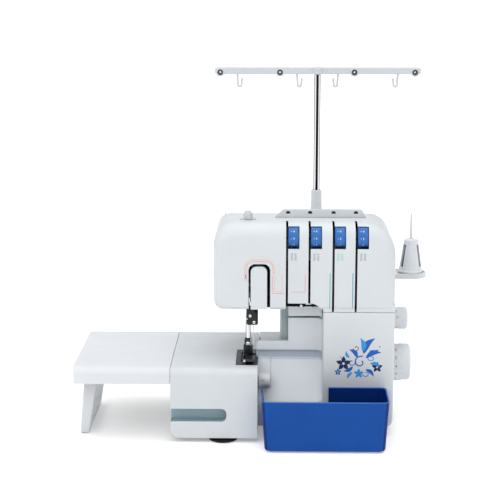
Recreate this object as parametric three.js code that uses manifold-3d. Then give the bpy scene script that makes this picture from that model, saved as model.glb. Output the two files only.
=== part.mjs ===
// A four-thread overlock machine with a wide extension table, a trim bin and a telescopic thread tree.
// Units are millimetres. +X is to the operator's right, +Y is to the back, +Z is up.
// Pieces are drawn in the machine's own coordinates: X = 0 runs through the needle side of the column,
// Y = 0 is the front face of the cloth plate and Z = 0 is the table top that the machine stands on.
// The finished group is moved at the end so that its origin is the bottom centre of the bounding box.
import * as THREE from 'three';
import { mergeVertices } from 'three/addons/utils/BufferGeometryUtils.js';
import Module from 'manifold-3d';

const wasm = await Module();
wasm.setup();

// ---------------------------------------------------------------- driving dimensions
const WALL = 2.6; // thickness of a moulded cover
const GAP = 0.4; // clearance between neighbouring pieces

const BED_TOP = 104.5; // sewing surface
const BASE_BOTTOM = 6.3; // underside of the base plate, on top of the rubber feet
const BASE_TOP = 10.3;
const SHELL_BOTTOM = BASE_TOP + GAP;

const TABLE = { left: -276, right: -144.5, front: 0, back: 202, apronBottom: 82, edgeRadius: 12 };
const BOX = { left: -144, right: -26, front: 0, back: 202, bottom: 6.5, edgeRadius: 13, cornerRadius: 12 };
const RECESS = { right: -68, bottom: 30, top: 48, depth: 14 };
const LEG = { pivotX: -252, pivotZ: 88, front: 33, back: 169 };

const PLATE = { left: -55.5, right: -25.9, front: 18.5, back: 96, bottom: 101.9 };
const ARM = { left: -60, right: -26, front: 20, back: 188, bottom: 52, top: 101.5 };
const NEEDLE = { x: -34, y: 57, barRadius: 3.6, spacing: 3.6 };
const PRESSER = { x: -40, y: 72, barRadius: 4 };

const HEAD = { left: -86, right: 160, bottom: 179, top: 296, front: 30, seam: 110 };
const HEAD_LIP_BOTTOM = 176.3; // lower edge of the head above the front cover
const COLUMN = { left: 4.3, right: 160, front: 76, back: 190 };
const BED_BLOCK = { left: -8.3, shelfLeft: -25.4, shelfFront: 91, back: 199, top: 103.5 };
const HEAD_BACK = 165;

const COVER = { left: -8, footLeft: -19.2, footTop: 65, step: 15.7, fold: 62.5, right: 160, front: 30, depth: 20, bottom: 12, top: 175.6 };
const LEDGE_LOW = 127; // top of the recessed panel beside the needle
const LEDGE_HIGH = 160; // top of the recessed panel beside the raised panel
const HINGE = { y: 38, z: 18, radius: 2.5 };

const BIN = { left: -20.7, right: 150, front: -41, back: 29, bottom: 2, rim: 71, wall: 2.2, backFrom: 71 };

const DIAL_AXIS = { y: 45.5, z: 277.5 };
const DIAL_RADIUS = 15.6;
const TENSION_SLOTS = [13.3, 43.6, 75.8, 106.5]; // X of each thread slot
const SLOT_BOTTOMS = [188, 188, 170, 170];
const SLOT_WIDTH = 3;
const DIAL_WIDTH = 14.4;

const MAIN_SHAFT = { y: 140, z: 73, radius: 6 };
const MOTOR = { y: 140, z: 140, radius: 26, left: 20, right: 112 };
const BELT = { left: 124, right: 130, thickness: 2, smallRadius: 9, bigRadius: 28 };

const STAND = { left: -95, right: 220, front: 197, back: 235, bottom: 184, top: 192 };
const PIN_X = [-76, 3, 110, 197];
const MAST = { x: 57, y: 216, tubeBottom: 150, tubeTop: 314, rodBottom: 256, rodTop: 482, rodRadius: 4.6 };
const TREE = { left: -91, right: 206, bottom: 482.4, top: 492.2, thickness: 9 };
const EYELET_X = [-83, 3, 110, 197];
const HOOKS = [{ x: -55, open: 1 }, { x: 31, open: 1 }, { x: 83, open: -1 }, { x: 169, open: -1 }];

const CENTRE_X = (TABLE.left + STAND.right) / 2;
const CENTRE_Y = (BIN.front + STAND.back) / 2;

// ---------------------------------------------------------------- materials
const finish = (color, roughness, metalness = 0) =>
  new THREE.MeshStandardMaterial({ color, roughness, metalness });
const WHITE = finish(0xf0f1f3, 0.38);
const TRANSLUCENT = finish(0xe8ecec, 0.25);
const BLUE = finish(0x1451b0, 0.42);
const BLACK = finish(0x17181a, 0.45);
const RUBBER = finish(0x101112, 0.85);
const CHROME = finish(0xc9ccd0, 0.15, 1);
const STEEL = finish(0x9a9da2, 0.35, 1);
const CAST = finish(0x8d9093, 0.6, 0.9);
const SHEET = finish(0x6f7276, 0.5, 0.9);

// ---------------------------------------------------------------- geometry helpers
// A closed outline with rounded corners. Each point is [u, v, radius].
function outline(points) {
  const shape = new THREE.Shape();
  points.forEach(([u, v, radius = 0], i) => {
    if (radius === 0) {
      if (i === 0) shape.moveTo(u, v);
      else shape.lineTo(u, v);
      return;
    }
    const before = points[(i + points.length - 1) % points.length];
    const after = points[(i + 1) % points.length];
    const here = new THREE.Vector2(u, v);
    const back = new THREE.Vector2(before[0] - u, before[1] - v).normalize();
    const ahead = new THREE.Vector2(after[0] - u, after[1] - v).normalize();
    const half = Math.acos(back.dot(ahead)) / 2;
    const reach = radius / Math.tan(half);
    const start = here.clone().addScaledVector(back, reach);
    const end = here.clone().addScaledVector(ahead, reach);
    const middle = back.clone().add(ahead).normalize();
    const centre = here.clone().addScaledVector(middle, radius / Math.sin(half));
    if (i === 0) shape.moveTo(start.x, start.y);
    else shape.lineTo(start.x, start.y);
    const from = Math.atan2(start.y - centre.y, start.x - centre.x);
    const to = Math.atan2(end.y - centre.y, end.x - centre.x);
    shape.absarc(centre.x, centre.y, radius, from, to, back.cross(ahead) > 0);
  });
  shape.closePath();
  return shape;
}

// A shape swept straight along an axis. Its (u, v) is (x, y) along z, (y, z) along x and (x, z) along y.
function sweep(axis, shape, from, to, { bevel = 0, rounds = 2, segments = 2 } = {}) {
  const geometry = new THREE.ExtrudeGeometry(shape, {
    depth: to - from - 2 * bevel,
    curveSegments: segments,
    bevelEnabled: bevel > 0,
    bevelThickness: bevel,
    bevelSize: bevel,
    bevelOffset: -bevel,
    bevelSegments: rounds,
  });
  geometry.translate(0, 0, bevel);
  const x = new THREE.Vector3(1, 0, 0);
  const y = new THREE.Vector3(0, 1, 0);
  const z = new THREE.Vector3(0, 0, 1);
  const turn = new THREE.Matrix4();
  if (axis === 'x') turn.makeBasis(y, z, x).setPosition(from, 0, 0);
  if (axis === 'y') turn.makeBasis(x, z, y.clone().negate()).setPosition(0, to, 0);
  if (axis === 'z') turn.setPosition(0, 0, from);
  return geometry.applyMatrix4(turn);
}

function circle(u, v, radius) {
  const shape = new THREE.Shape();
  shape.absarc(u, v, radius, 0, 2 * Math.PI, false);
  return shape;
}

function rod(axis, [u, v], radius, from, to, { sides = 20, bevel = 0 } = {}) {
  return sweep(axis, circle(u, v, radius), from, to, { bevel, rounds: 1, segments: sides / 2 });
}

function block([x0, x1], [y0, y1], [z0, z1]) {
  const box = new THREE.BoxGeometry(x1 - x0, y1 - y0, z1 - z0);
  return box.translate((x0 + x1) / 2, (y0 + y1) / 2, (z0 + z1) / 2);
}

// A turned piece. The profile is [radius, height] and starts and ends on the axis.
function turned(profile, sides, axis, [u, v], start = 0) {
  const points = profile.map(([r, h]) => new THREE.Vector2(r, h + start));
  const lathe = new THREE.LatheGeometry(points, sides);
  if (axis === 'z') return lathe.rotateX(Math.PI / 2).translate(u, v, 0);
  return lathe.rotateZ(-Math.PI / 2).translate(0, u, v);
}

function solid(geometry) {
  const bare = geometry.clone();
  bare.deleteAttribute('normal');
  bare.deleteAttribute('uv');
  const merged = mergeVertices(bare, 1e-3);
  const corners = [];
  const index = merged.index.array;
  for (let i = 0; i < index.length; i += 3) {
    const [a, b, c] = [index[i], index[i + 1], index[i + 2]];
    if (a !== b && b !== c && c !== a) corners.push(a, b, c);
  }
  return new wasm.Manifold(new wasm.Mesh({
    numProp: 3,
    vertProperties: Float32Array.from(merged.attributes.position.array),
    triVerts: Uint32Array.from(corners),
  }));
}

const join = (...geometries) => geometries.map(asSolid).reduce((a, b) => a.add(b));
const cut = (body, ...tools) => tools.map(asSolid).reduce((a, b) => a.subtract(b), asSolid(body));
const common = (...geometries) => geometries.map(asSolid).reduce((a, b) => a.intersect(b));

function asSolid(piece) {
  return piece.isBufferGeometry ? solid(piece) : piece;
}

const machine = new THREE.Group();

function part(name, piece, material) {
  const mesh = asSolid(piece).getMesh();
  const geometry = new THREE.BufferGeometry();
  geometry.setAttribute('position', new THREE.Float32BufferAttribute(mesh.vertProperties, 3));
  geometry.setIndex(Array.from(mesh.triVerts));
  geometry.computeVertexNormals();
  const node = new THREE.Mesh(geometry, material);
  node.name = name;
  machine.add(node);
}

// ---------------------------------------------------------------- base
function addBase() {
  const frontOfColumn = 54;
  const floor = sweep('z', outline([
    [-112, 6, 8], [-26, 6, 4], [-26, frontOfColumn], [157, frontOfColumn, 8], [157, 188, 8], [-112, 188, 8],
  ]), BASE_BOTTOM, BASE_TOP);
  const ear = outline([[50, 8], [62, 8], [62, 25, 3], [34, 25, 3], [34, 15, 2.4], [45, 15], [50, 12]]);
  const ears = [4, 140].map((x) => sweep('x', ear, x, x + 3));
  const bore = rod('x', [HINGE.y, HINGE.z], HINGE.radius + 0.5, 0, 150, { sides: 12 });
  part('base_plate', cut(join(floor, ...ears), bore), SHEET);

  const foot = [[0, 0], [17, 0], [20, 1.6], [20, 3.4], [12.5, 4.3], [12.5, 5.9], [0, 5.9]];
  const places = { front_left: [-73, 15.6], back_left: [-71, 166], front_right: [128, 80], back_right: [128, 166] };
  for (const [place, centre] of Object.entries(places)) {
    part(`rubber_foot_${place}`, turned(foot, 24, 'z', centre), RUBBER);
  }
}

// ---------------------------------------------------------------- frame and housings
function addFrame() {
  const front = 84;
  const back = 94;
  const casting = sweep('y', outline([
    [-2, SHELL_BOTTOM], [112, SHELL_BOTTOM], [112, 284, 10], [-62, 284, 10], [-62, 190, 6], [-18, 190, 6],
    [-18, 236, 4], [72, 236, 10], [72, 50, 10], [-2, 50, 6],
  ]), front, back);
  const lugs = [192, 252].map((z) => block([-52, -27], [48, front + 1], [z, z + 8]));
  const needleBore = rod('z', [NEEDLE.x, NEEDLE.y], NEEDLE.barRadius + 0.3, 180, 290, { sides: 16 });
  const presserBore = rod('z', [PRESSER.x, PRESSER.y], PRESSER.barRadius + 0.3, 180, 290, { sides: 16 });
  part('machine_frame', cut(join(casting, ...lugs), needleBore, presserBore), CAST);
}

// The head's shape seen from the front and from the side, drawn in by `inset`.
function headBlock(inset, front, back, bevel) {
  const { left, right, bottom, top } = HEAD;
  const face = outline([
    [left + inset, bottom + inset, 12 - inset], [right - inset, bottom + inset],
    [right - inset, top - inset, 42 - inset], [left + inset, top - inset, 29 - inset],
  ]);
  return sweep('y', face, front, back, { bevel, rounds: 2, segments: 3 });
}

function headSide(inset) {
  return sweep('x', outline([
    [HEAD.front + inset, 150], [HEAD.seam + 40, 150], [HEAD.seam + 40, HEAD.top - inset],
    [HEAD.front + inset, HEAD.top - inset, 20 - inset],
  ]), -100, 180, { segments: 3 });
}

function dialX(i) {
  return TENSION_SLOTS[i] + SLOT_WIDTH / 2;
}

function addHead() {
  const { left, right, bottom, top, front, seam } = HEAD;
  const lip = block([COVER.fold + 0.3, right], [front, 50], [HEAD_LIP_BOTTOM, bottom + 12]);
  const curtain = block([COVER.step, COVER.fold - 0.8], [60, 60 + WALL], [LEDGE_HIGH + 3, bottom + 1]);
  const skin = join(
    cut(common(headBlock(0, front, seam + 10, 6), headSide(0)), block([left - 1, right + 1], [seam, seam + 20], [150, 320])),
    lip, curtain,
  );
  const hollow = common(headBlock(WALL, front + WALL, seam + 20, 0), headSide(WALL));
  const lipHollow = block([COVER.fold + 0.3 + WALL, right - WALL], [front + WALL, 51], [170, bottom + 13]);
  const needleWay = block([-56, -14], [44, 100], [bottom - 5, bottom + 8]);
  const columnWay = block([66, right - WALL], [50, seam + 1], [bottom - 5, bottom + 8]);
  const takeUpGroove = sweep('y', outline([
    [-38.5, bottom - 5], [-9.4, bottom - 5], [-9.4, 242, 9], [-38.5, 242, 9],
  ]), front - 1, front + 13);
  const slots = TENSION_SLOTS.map((x, i) =>
    block([x - SLOT_WIDTH / 2, x + SLOT_WIDTH / 2], [front - 1, 60], [SLOT_BOTTOMS[i], top + 1]));
  const windows = TENSION_SLOTS.map((x, i) =>
    block([dialX(i) - 0.1, dialX(i) + DIAL_WIDTH + 0.6], [front - 1, 39], [263.4, top + 1]));
  const pockets = TENSION_SLOTS.map((x, i) =>
    rod('x', [DIAL_AXIS.y, DIAL_AXIS.z], DIAL_RADIUS + 0.4, dialX(i) - 0.1, dialX(i) + DIAL_WIDTH + 0.6, { sides: 28 }));
  const knobHole = rod('z', [PRESSER.x, PRESSER.y], 4.5, top - 5, top + 2, { sides: 16 });
  const guideGap = block(
    [TENSION_SLOTS[0] - SLOT_WIDTH / 2, TENSION_SLOTS[1] + SLOT_WIDTH / 2], [front - 1, 50], [bottom - 1, SLOT_BOTTOMS[0]],
  );
  part('head_housing', cut(
    skin, hollow, lipHollow, needleWay, columnWay, takeUpGroove, guideGap, ...slots, ...windows, ...pockets,
    knobHole,
  ), WHITE);

  const island = outline([[-35.8, bottom + 0.3], [-13.4, bottom + 0.3], [-13.4, 238.6, 8], [-35.8, 238.6, 8]]);
  part('take_up_cover', sweep('y', island, front, front + 12), WHITE);
}

function rearSide(inset, extra) {
  return sweep('x', outline([
    [40, 0], [COLUMN.back - inset, 0], [COLUMN.back - inset, 262, 36 - inset],
    [132, HEAD.top - inset + extra, 60], [40, HEAD.top - inset + extra],
  ]), -100, 180, { segments: 3 });
}

function addRearHousing() {
  const { left, right, front, back } = COLUMN;
  const seam = HEAD.seam + GAP;
  const foot = sweep('z', outline([
    [left, front], [right, front], [right, back, 14], [left, back, 14],
  ]), SHELL_BOTTOM, HEAD.bottom - GAP);
  const upper = sweep('z', outline([
    [left, seam], [right, seam], [right, back, 14], [left, back, 14],
  ]), 170, 262);
  const headBack = headBlock(0, seam - 6, HEAD_BACK, 6);
  const sideWall = block([right - WALL, right], [50.5, front + 1], [SHELL_BOTTOM, HEAD_LIP_BOTTOM - GAP]);
  const bedPlan = (inset) => outline([
    [BED_BLOCK.left + inset, front], [20, front], [20, BED_BLOCK.back - inset],
    [BED_BLOCK.shelfLeft + inset, BED_BLOCK.back - inset], [BED_BLOCK.shelfLeft + inset, BED_BLOCK.shelfFront + inset],
    [BED_BLOCK.left + inset, BED_BLOCK.shelfFront + inset],
  ]);
  const bed = sweep('z', bedPlan(0), SHELL_BOTTOM, BED_BLOCK.top);
  const headOnly = cut(headBack, block([-100, 180], [seam - 20, seam], [150, 320]));
  const skin = join(common(join(headOnly, foot, upper), rearSide(0, 0)), sideWall, bed);

  const footHollow = sweep('z', outline([
    [left + WALL, 40], [right - WALL, 40], [right - WALL, back - WALL, 14 - WALL],
    [left + WALL, back - WALL, 14 - WALL],
  ]), 0, 262 - WALL);
  const headHollow = cut(headBlock(WALL, seam - 20, HEAD_BACK - WALL, 0));
  const hollow = common(join(footHollow, headHollow), rearSide(WALL, 0));
  const bedHollow = sweep('z', bedPlan(WALL), 0, BED_BLOCK.top - WALL);
  const frontWall = block([left, 40], [front, front + WALL], [SHELL_BOTTOM, HEAD.bottom - GAP]);
  const leverSlot = block([-34, -20], [118, 172], [HEAD.bottom - 4, 224]);
  const through = (y, z, radius) => rod('x', [y, z], radius, right - 8, right + 2, { sides: 16 });
  part('rear_housing', cut(
    join(cut(skin, hollow), frontWall), bedHollow, leverSlot,
    through(MAIN_SHAFT.y, MAIN_SHAFT.z, MAIN_SHAFT.radius + 0.5),
    through(80, 156, 4.5), through(80, 93, 4.5),
    block([right - 8, right + 2], [149, 167], [21.5, 36.5]),
    block([right - 8, right + 2], [107.6, 132.4], [19.6, 38.4]),
  ), WHITE);
}

function addThreadGuidePlate() {
  const y = 86;
  const plate = outline([[-3.4, 0], [122, 0], [116, 11.5, 5], [7.8, 11.5, 5]]);
  const upright = sweep('y', plate, y, y + 2.4).translate(0, 0, HEAD.top + GAP);
  const holes = TENSION_SLOTS.map((x) => rod('y', [x + 1.5, HEAD.top + 7], 2, y - 3, y + 5, { sides: 12 }));
  part('thread_guide_plate', cut(upright, ...holes), WHITE);
}

// ---------------------------------------------------------------- needle side
// The panel and chute beside the needle, seen from the right: [y, z] of the outer face, top to bottom.
function chuteProfile(top, thickness) {
  const t = thickness;
  return outline([
    [62, top], [62, 114, 1.5], [66, 112, 1.5], [66, 104, 16], [30.5, 48, 12], [30.5, 14],
    [30.5 + t, 14], [30.5 + t, 47, 12], [66 + t, 102.5, 16], [66 + t, top],
  ]);
}

function addFreeArm() {
  const { left, right, front, back, bottom, top } = ARM;
  const outer = block([left, right], [front, back], [bottom, top]);
  const hollow = block([left + WALL, right + 5], [front + WALL, back - WALL], [bottom - 5, top - WALL]);
  const topWay = block([-52, right + 5], [30, 89], [top - 5, top + 5]);
  const side = block([right - WALL, right], [front, 68.6], [bottom, top]);
  const window = block([right - 5, right + 1], [56, 68], [56, 84]);
  const nose = cut(
    sweep('x', chuteProfile(LEDGE_LOW, WALL), right - 0.6, COVER.left - 0.6),
    block([right - 5, COVER.left], [0, 80], [0, COVER.footTop + 0.6]),
  );
  const noseRoot = sweep('x', outline([
    [62, LEDGE_LOW], [62, 114], [66, 112], [66, 99], [60, 90], [60, 84], [68.6, 84], [68.6, LEDGE_LOW],
  ]), right - WALL, right + 0.5);
  const boss = rod('x', [34, 79.5], 3, right - 1, right + 1.6, { sides: 12 });
  part('free_arm', join(cut(outer, hollow, topWay), cut(side, window), nose, noseRoot, boss), WHITE);

  const plate = block([PLATE.left, PLATE.right], [PLATE.front, PLATE.back], [PLATE.bottom, BED_TOP]);
  const feedSlot = block([-49, -41], [33, 85], [100, 110]);
  const needleSlot = block([-39.5, -28.5], [54, 60], [100, 110]);
  const knifeNotch = block([-28.2, -20], [70, 89], [100, 110]);
  const rootNotch = block([-29.4, -20], [61, 69.4], [100, 110]);
  part('needle_plate', cut(plate, feedSlot, needleSlot, knifeNotch, rootNotch), SHEET);

  const teeth = [];
  for (let y = 37; y < 80; y += 3) {
    teeth.push(sweep('x', outline([[y, 101.5], [y + 2.6, 101.5], [y + 2.6, 104]]), -47.5, -42.5));
  }
  const feedBody = join(block([-47.5, -42.5], [36, 81], [96, 102]), block([-47, -43], [54, 64], [80, 97]));
  part('feed_dog', join(feedBody, ...teeth), STEEL);

  part('lower_knife', sweep('x', outline([[77, 84], [87, 84], [87, 103.9], [77, 102]]), -27.4, -25), STEEL);
  part('upper_knife', sweep('x', outline([[77, 100], [87, 97.5], [87, 126], [77, 126]]), -24.6, -22.4), STEEL);
}

function addLoopers() {
  const lower = outline([
    [-16, 17, 5], [-4, 17, 5], [-5, 62, 3], [-8, 74, 3], [-40, 77, 0.8], [-40, 75, 0.8], [-13, 66, 3],
  ]);
  part('lower_looper', sweep('y', lower, 60, 62.6), STEEL);
  const upper = outline([
    [24, 54, 5], [38, 54, 5], [38, 66, 5], [30, 74, 3], [-6, 104, 4], [-21, 118, 0.8], [-23, 116, 0.8],
    [-12, 98, 3], [20, 66, 3],
  ]);
  part('upper_looper', sweep('y', upper, 70.4, 73), STEEL);
}

function addNeedleBar() {
  const { x, y, barRadius, spacing } = NEEDLE;
  part('needle_bar', rod('z', [x, y], barRadius, 177.4, 276, { sides: 16, bevel: 0.8 }), CHROME);
  const clamp = sweep('z', outline([
    [x - 8, y - 7, 2], [x + 8, y - 7, 2], [x + 8, y + 6, 2], [x - 8, y + 6, 2],
  ]), 152.2, 177, { bevel: 0.8, rounds: 1 });
  part('needle_clamp', clamp, BLACK);
  const needle = [[0, 0], [0.45, 2.5], [0.45, 20], [0.9, 22], [0.9, 32.8], [0, 32.8]];
  part('left_needle', turned(needle, 8, 'z', [x - spacing / 2, y], 119), CHROME);
  part('right_needle', turned(needle, 8, 'z', [x + spacing / 2, y], 119), CHROME);

  const lever = outline([[60, 216, 5], [73, 216, 5], [73, 228, 5], [60, 226, 3], [37, 231, 2], [36, 226, 2]]);
  part('take_up_lever', sweep('x', lever, -8, -5.4), STEEL);
}

function addPresser() {
  const { x, y, barRadius } = PRESSER;
  part('presser_bar', rod('z', [x, y], barRadius, 128.4, 272, { sides: 16, bevel: 0.8 }), CHROME);
  const sole = sweep('x', outline([
    [24, 107, 1.5], [28, 105], [84, 105], [84, 109, 1], [30, 109], [24, 110.5, 1],
  ]), -47, -29.6);
  const needleSlot = block([-40, -28], [53, 61], [100, 115]);
  const shank = sweep('x', outline([
    [y - 6, 108], [y + 6, 108], [y + 6, 128], [y - 6, 128],
  ]), x - 5, x + 5);
  part('presser_foot', join(cut(sole, needleSlot), shank), STEEL);

  const pivot = { y: 132, z: 198 };
  const lever = outline([
    [pivot.y - 7, pivot.z - 3, 5], [pivot.y + 2, pivot.z - 8, 4], [168, 152, 4], [176, 157, 4],
    [pivot.y + 8, pivot.z + 2, 4], [pivot.y, pivot.z + 8, 5],
  ]);
  part('lifter_lever', sweep('x', lever, -30, -24), STEEL);

  const knob = [[0, 0], [4, 0], [4, 9], [6.6, 9], [6.6, 18], [5.4, 20], [0, 20]];
  part('pressure_knob', turned(knob, 20, 'z', [x, y], HEAD.top - 8.4), TRANSLUCENT);
}

// ---------------------------------------------------------------- tension dials
function addTensionDials() {
  const { y, z } = DIAL_AXIS;
  TENSION_SLOTS.forEach((_, i) => {
    const from = dialX(i) + 0.2;
    const wheel = rod('x', [y, z], DIAL_RADIUS, from, from + DIAL_WIDTH - 0.2, { sides: 28, bevel: 0.6 });
    const bore = rod('x', [y, z], 4.5, from - 1, from + DIAL_WIDTH + 1, { sides: 12 });
    part(`tension_dial_${i + 1}`, cut(wheel, bore), BLUE);
  });
  part('tension_shaft', rod('x', [y, z], 4, 6, 134, { sides: 12 }), STEEL);
}

// ---------------------------------------------------------------- drive
function addDrive() {
  const { y, z, radius } = MAIN_SHAFT;
  const shaft = [[0, 0], [radius, 0], [radius, 18], [11, 18], [11, 28], [radius, 28], [radius, 60],
    [10, 60], [10, 68], [radius, 68], [radius, 182], [0, 182]];
  part('main_shaft', turned(shaft, 16, 'x', [y, z], -4), STEEL);

  const flange = 2.2;
  const pulley = (rim) => [
    [rim + flange, -3], [rim + flange, -1], [rim, -0.6], [rim, 6.6], [rim + flange, 7], [rim + flange, 9],
  ];
  const bigRim = pulley(BELT.bigRadius);
  const ring = [[radius + 0.3, -3], ...bigRim, [radius + 0.3, 9], [radius + 0.3, -3]];
  part('driven_pulley', turned(ring, 32, 'x', [y, z], BELT.left), BLACK);
  const small = [[2.9, -3], ...pulley(BELT.smallRadius), [2.9, 9], [2.9, -3]];
  part('motor_pulley', turned(small, 20, 'x', [MOTOR.y, MOTOR.z], BELT.left), STEEL);
  const motorBody = [
    [0, 0], [8, 0], [8, 6], [MOTOR.radius, 9], [MOTOR.radius, 84], [9, 88], [9, 92], [2.5, 92], [2.5, 113], [0, 113],
  ];
  part('motor', turned(motorBody, 24, 'x', [MOTOR.y, MOTOR.z], MOTOR.left), CAST);

  const loop = (extra) => {
    const rise = MOTOR.z - z;
    const lean = Math.asin((BELT.bigRadius - BELT.smallRadius) / rise);
    const shape = new THREE.Shape();
    shape.absarc(y, z, BELT.bigRadius + extra, Math.PI - lean, 2 * Math.PI + lean, false);
    shape.absarc(MOTOR.y, MOTOR.z, BELT.smallRadius + extra, lean, Math.PI - lean, false);
    shape.closePath();
    return shape;
  };
  const outer = sweep('x', loop(0.35 + BELT.thickness), BELT.left, BELT.right, { segments: 10 });
  const inner = sweep('x', loop(0.35), BELT.left - 1, BELT.right + 1, { segments: 10 });
  part('drive_belt', cut(outer, inner), RUBBER);

  const wheel = [[radius + 0.3, 0], [21, 0], [25, 3], [25, 19], [22, 21], [17, 21], [17, 15], [radius + 0.3, 15],
    [radius + 0.3, 0]];
  part('handwheel', turned(wheel, 32, 'x', [y, z], COLUMN.right + GAP), WHITE);
}

// ---------------------------------------------------------------- side controls
function addSideControls() {
  const start = COLUMN.right + GAP;
  const dial = (name, centre, radius, length) => {
    const profile = [[0, -14], [4, -14], [4, 0], [radius - 1, 0], [radius, 1.5], [radius, length - 3],
      [radius - 2.5, length], [0, length]];
    part(name, turned(profile, 28, 'x', centre, start), WHITE);
  };
  dial('differential_dial', [80, 156], 15.5, 20.6);
  dial('stitch_length_dial', [80, 93], 25.5, 25.2);

  const width = [[0, 0], [10, 0], [10.8, 1], [10.8, 14], [9.6, 15.4], [0, 15.4]];
  part('stitch_width_dial', turned(width, 24, 'x', [34, 79.5], ARM.right + 1.8), WHITE);

  part('power_switch', sweep('z', outline([
    [155, 150.5], [162, 150.5, 1], [160.6, 158, 12], [162, 165.5, 1], [155, 165.5],
  ]), 22.6, 35.4), BLACK);
  const inlet = block([146, 160.4], [108, 132], [20, 38]);
  part('power_inlet', cut(inlet, block([150, 162], [110.6, 129.4], [22.6, 35.4])), BLACK);
}

// ---------------------------------------------------------------- front cover and bin
function addFrontCover() {
  const { left, step, fold, right, front, depth, bottom, top } = COVER;
  const face = outline([[fold, bottom, 3], [right, bottom, 12], [right, top, 3], [fold, top, 3]]);
  const raised = sweep('y', face, front, front + depth + 2, { bevel: 2, rounds: 2 });
  const trimmed = cut(raised, block([fold - 1, right + 1], [front + depth, front + depth + 5], [0, 200]));
  const hollow = sweep('y', outline([
    [fold + WALL, bottom - 4], [right - WALL, bottom - 4, 0], [right - WALL, top - WALL], [fold + WALL, top - WALL],
  ]), front + WALL, front + depth + 3);
  const side = sweep('x', outline([
    [front + 1, bottom + 3], [front + 35, bottom + 3], [front + 35, LEDGE_HIGH], [front + 29, LEDGE_HIGH + 1],
    [front + depth, top - 0.6],
    [front + 1, top - 0.6],
  ]), fold, fold + WALL);
  const chute = sweep('x', chuteProfile(LEDGE_HIGH, WALL), left, fold + 1);
  const corner = block([left - 1, step], [55, 75], [LEDGE_LOW, LEDGE_HIGH + 1]);
  const foot = common(
    sweep('x', chuteProfile(LEDGE_LOW, WALL), COVER.footLeft, left + 1),
    block([COVER.footLeft - 1, left + 2], [0, 80], [0, COVER.footTop]),
  );
  const barWay = rod('x', [HINGE.y, HINGE.z], HINGE.radius + 0.5, fold - 1, fold + WALL + 1, { sides: 12 });
  part('front_cover', cut(join(cut(trimmed, hollow), side, cut(chute, corner), foot), barWay), WHITE);
  part('cover_hinge_bar', rod('x', [HINGE.y, HINGE.z], HINGE.radius, -4, 150, { sides: 12 }), STEEL);
}

// Draws a bin shape in towards its centre line as it goes down.
function tapered(geometry, { bottom, rim }) {
  const middle = (BIN.left + BIN.right) / 2;
  const lean = 0.055; // share of the width lost from rim to floor
  const position = geometry.attributes.position;
  for (let i = 0; i < position.count; i += 1) {
    const down = (rim - position.getZ(i)) / (rim - bottom);
    position.setX(i, middle + (position.getX(i) - middle) * (1 - lean * down));
  }
  return geometry;
}

function addTrimBin() {
  const { left, right, front, back, bottom, rim, wall, backFrom } = BIN;
  const plan = (inset) => outline([
    [left + inset, front + inset, 9 - inset], [right - inset, front + inset, 9 - inset],
    [right - inset, back - inset, 6 - inset], [left + inset, back - inset, 6 - inset],
  ]);
  const outer = tapered(sweep('z', plan(0), bottom, rim), BIN);
  const inner = tapered(sweep('z', plan(wall), bottom + wall, rim + 1), BIN);
  const backLip = 40;
  const backWay = sweep('y', outline([
    [left - 5, backLip], [backFrom, backLip, 6], [backFrom, rim + 5], [left - 5, rim + 5],
  ]), 20, back + 2);
  part('trim_bin', cut(outer, inner, backWay), BLUE);
}

// ---------------------------------------------------------------- cloth plate and table
function addClothPlateBox() {
  const { left, right, front, back, bottom, edgeRadius, cornerRadius } = BOX;
  const face = (inset, floor) => outline([
    [left + inset, floor, cornerRadius - inset], [right + (inset > 0 ? 5 : 0), floor],
    [right + (inset > 0 ? 5 : 0), BED_TOP - inset], [left + inset, BED_TOP - inset],
  ]);
  const side = (inset) => outline([
    [front + inset, -10], [back - inset, -10], [back - inset, BED_TOP - inset, edgeRadius - inset],
    [front + inset, BED_TOP - inset, edgeRadius - inset],
  ]);
  const skin = common(
    sweep('y', face(0, bottom), front - 1, back + 1, { segments: 2 }),
    sweep('x', side(0), left - 1, right + 1, { segments: 2 }),
  );
  const hollow = common(
    sweep('y', face(WALL, bottom - 12), front, back, { segments: 2 }),
    sweep('x', side(WALL), left, right + 5, { segments: 2 }),
  );
  const pocket = (extra) => sweep('y', outline([
    [left - 1 - extra, RECESS.bottom - extra], [RECESS.right + extra, RECESS.bottom - extra, 6],
    [RECESS.right + extra, RECESS.top + extra, 6], [left - 1 - extra, RECESS.top + extra],
  ]), front - 1, front + RECESS.depth + extra);
  const plateNotch = block([PLATE.left - 0.5, right + 1], [PLATE.front - 0.5, PLATE.back + 0.5], [95, BED_TOP + 1]);
  part('cloth_plate_box', cut(skin, cut(hollow, pocket(2.2)), pocket(0), plateNotch), WHITE);
}

function addTable() {
  const { left, right, front, back, apronBottom, edgeRadius } = TABLE;
  const side = (inset) => outline([
    [front + inset, apronBottom - inset * 3], [back - inset, apronBottom - inset * 3],
    [back - inset, BED_TOP - inset, edgeRadius - inset], [front + inset, BED_TOP - inset, edgeRadius - inset],
  ]);
  const plan = outline([[left, front, 6], [right, front], [right, back], [left, back, 6]]);
  const skin = common(sweep('x', side(0), left, right), sweep('z', plan, 60, 120));
  part('extension_table', cut(skin, sweep('x', side(WALL), left + WALL, right - WALL)), WHITE);

  const { pivotX, pivotZ } = LEG;
  const blade = sweep('y', outline([
    [pivotX - 12, pivotZ + 4, 3], [pivotX - 20, 0], [pivotX - 8, 0], [pivotX + 8, pivotZ + 4, 3],
  ]), LEG.front, LEG.back);
  const opening = block([pivotX - 40, pivotX + 40], [LEG.front + 14, LEG.back - 14], [16, 76]);
  part('table_leg', cut(blade, opening), WHITE);
}

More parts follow.
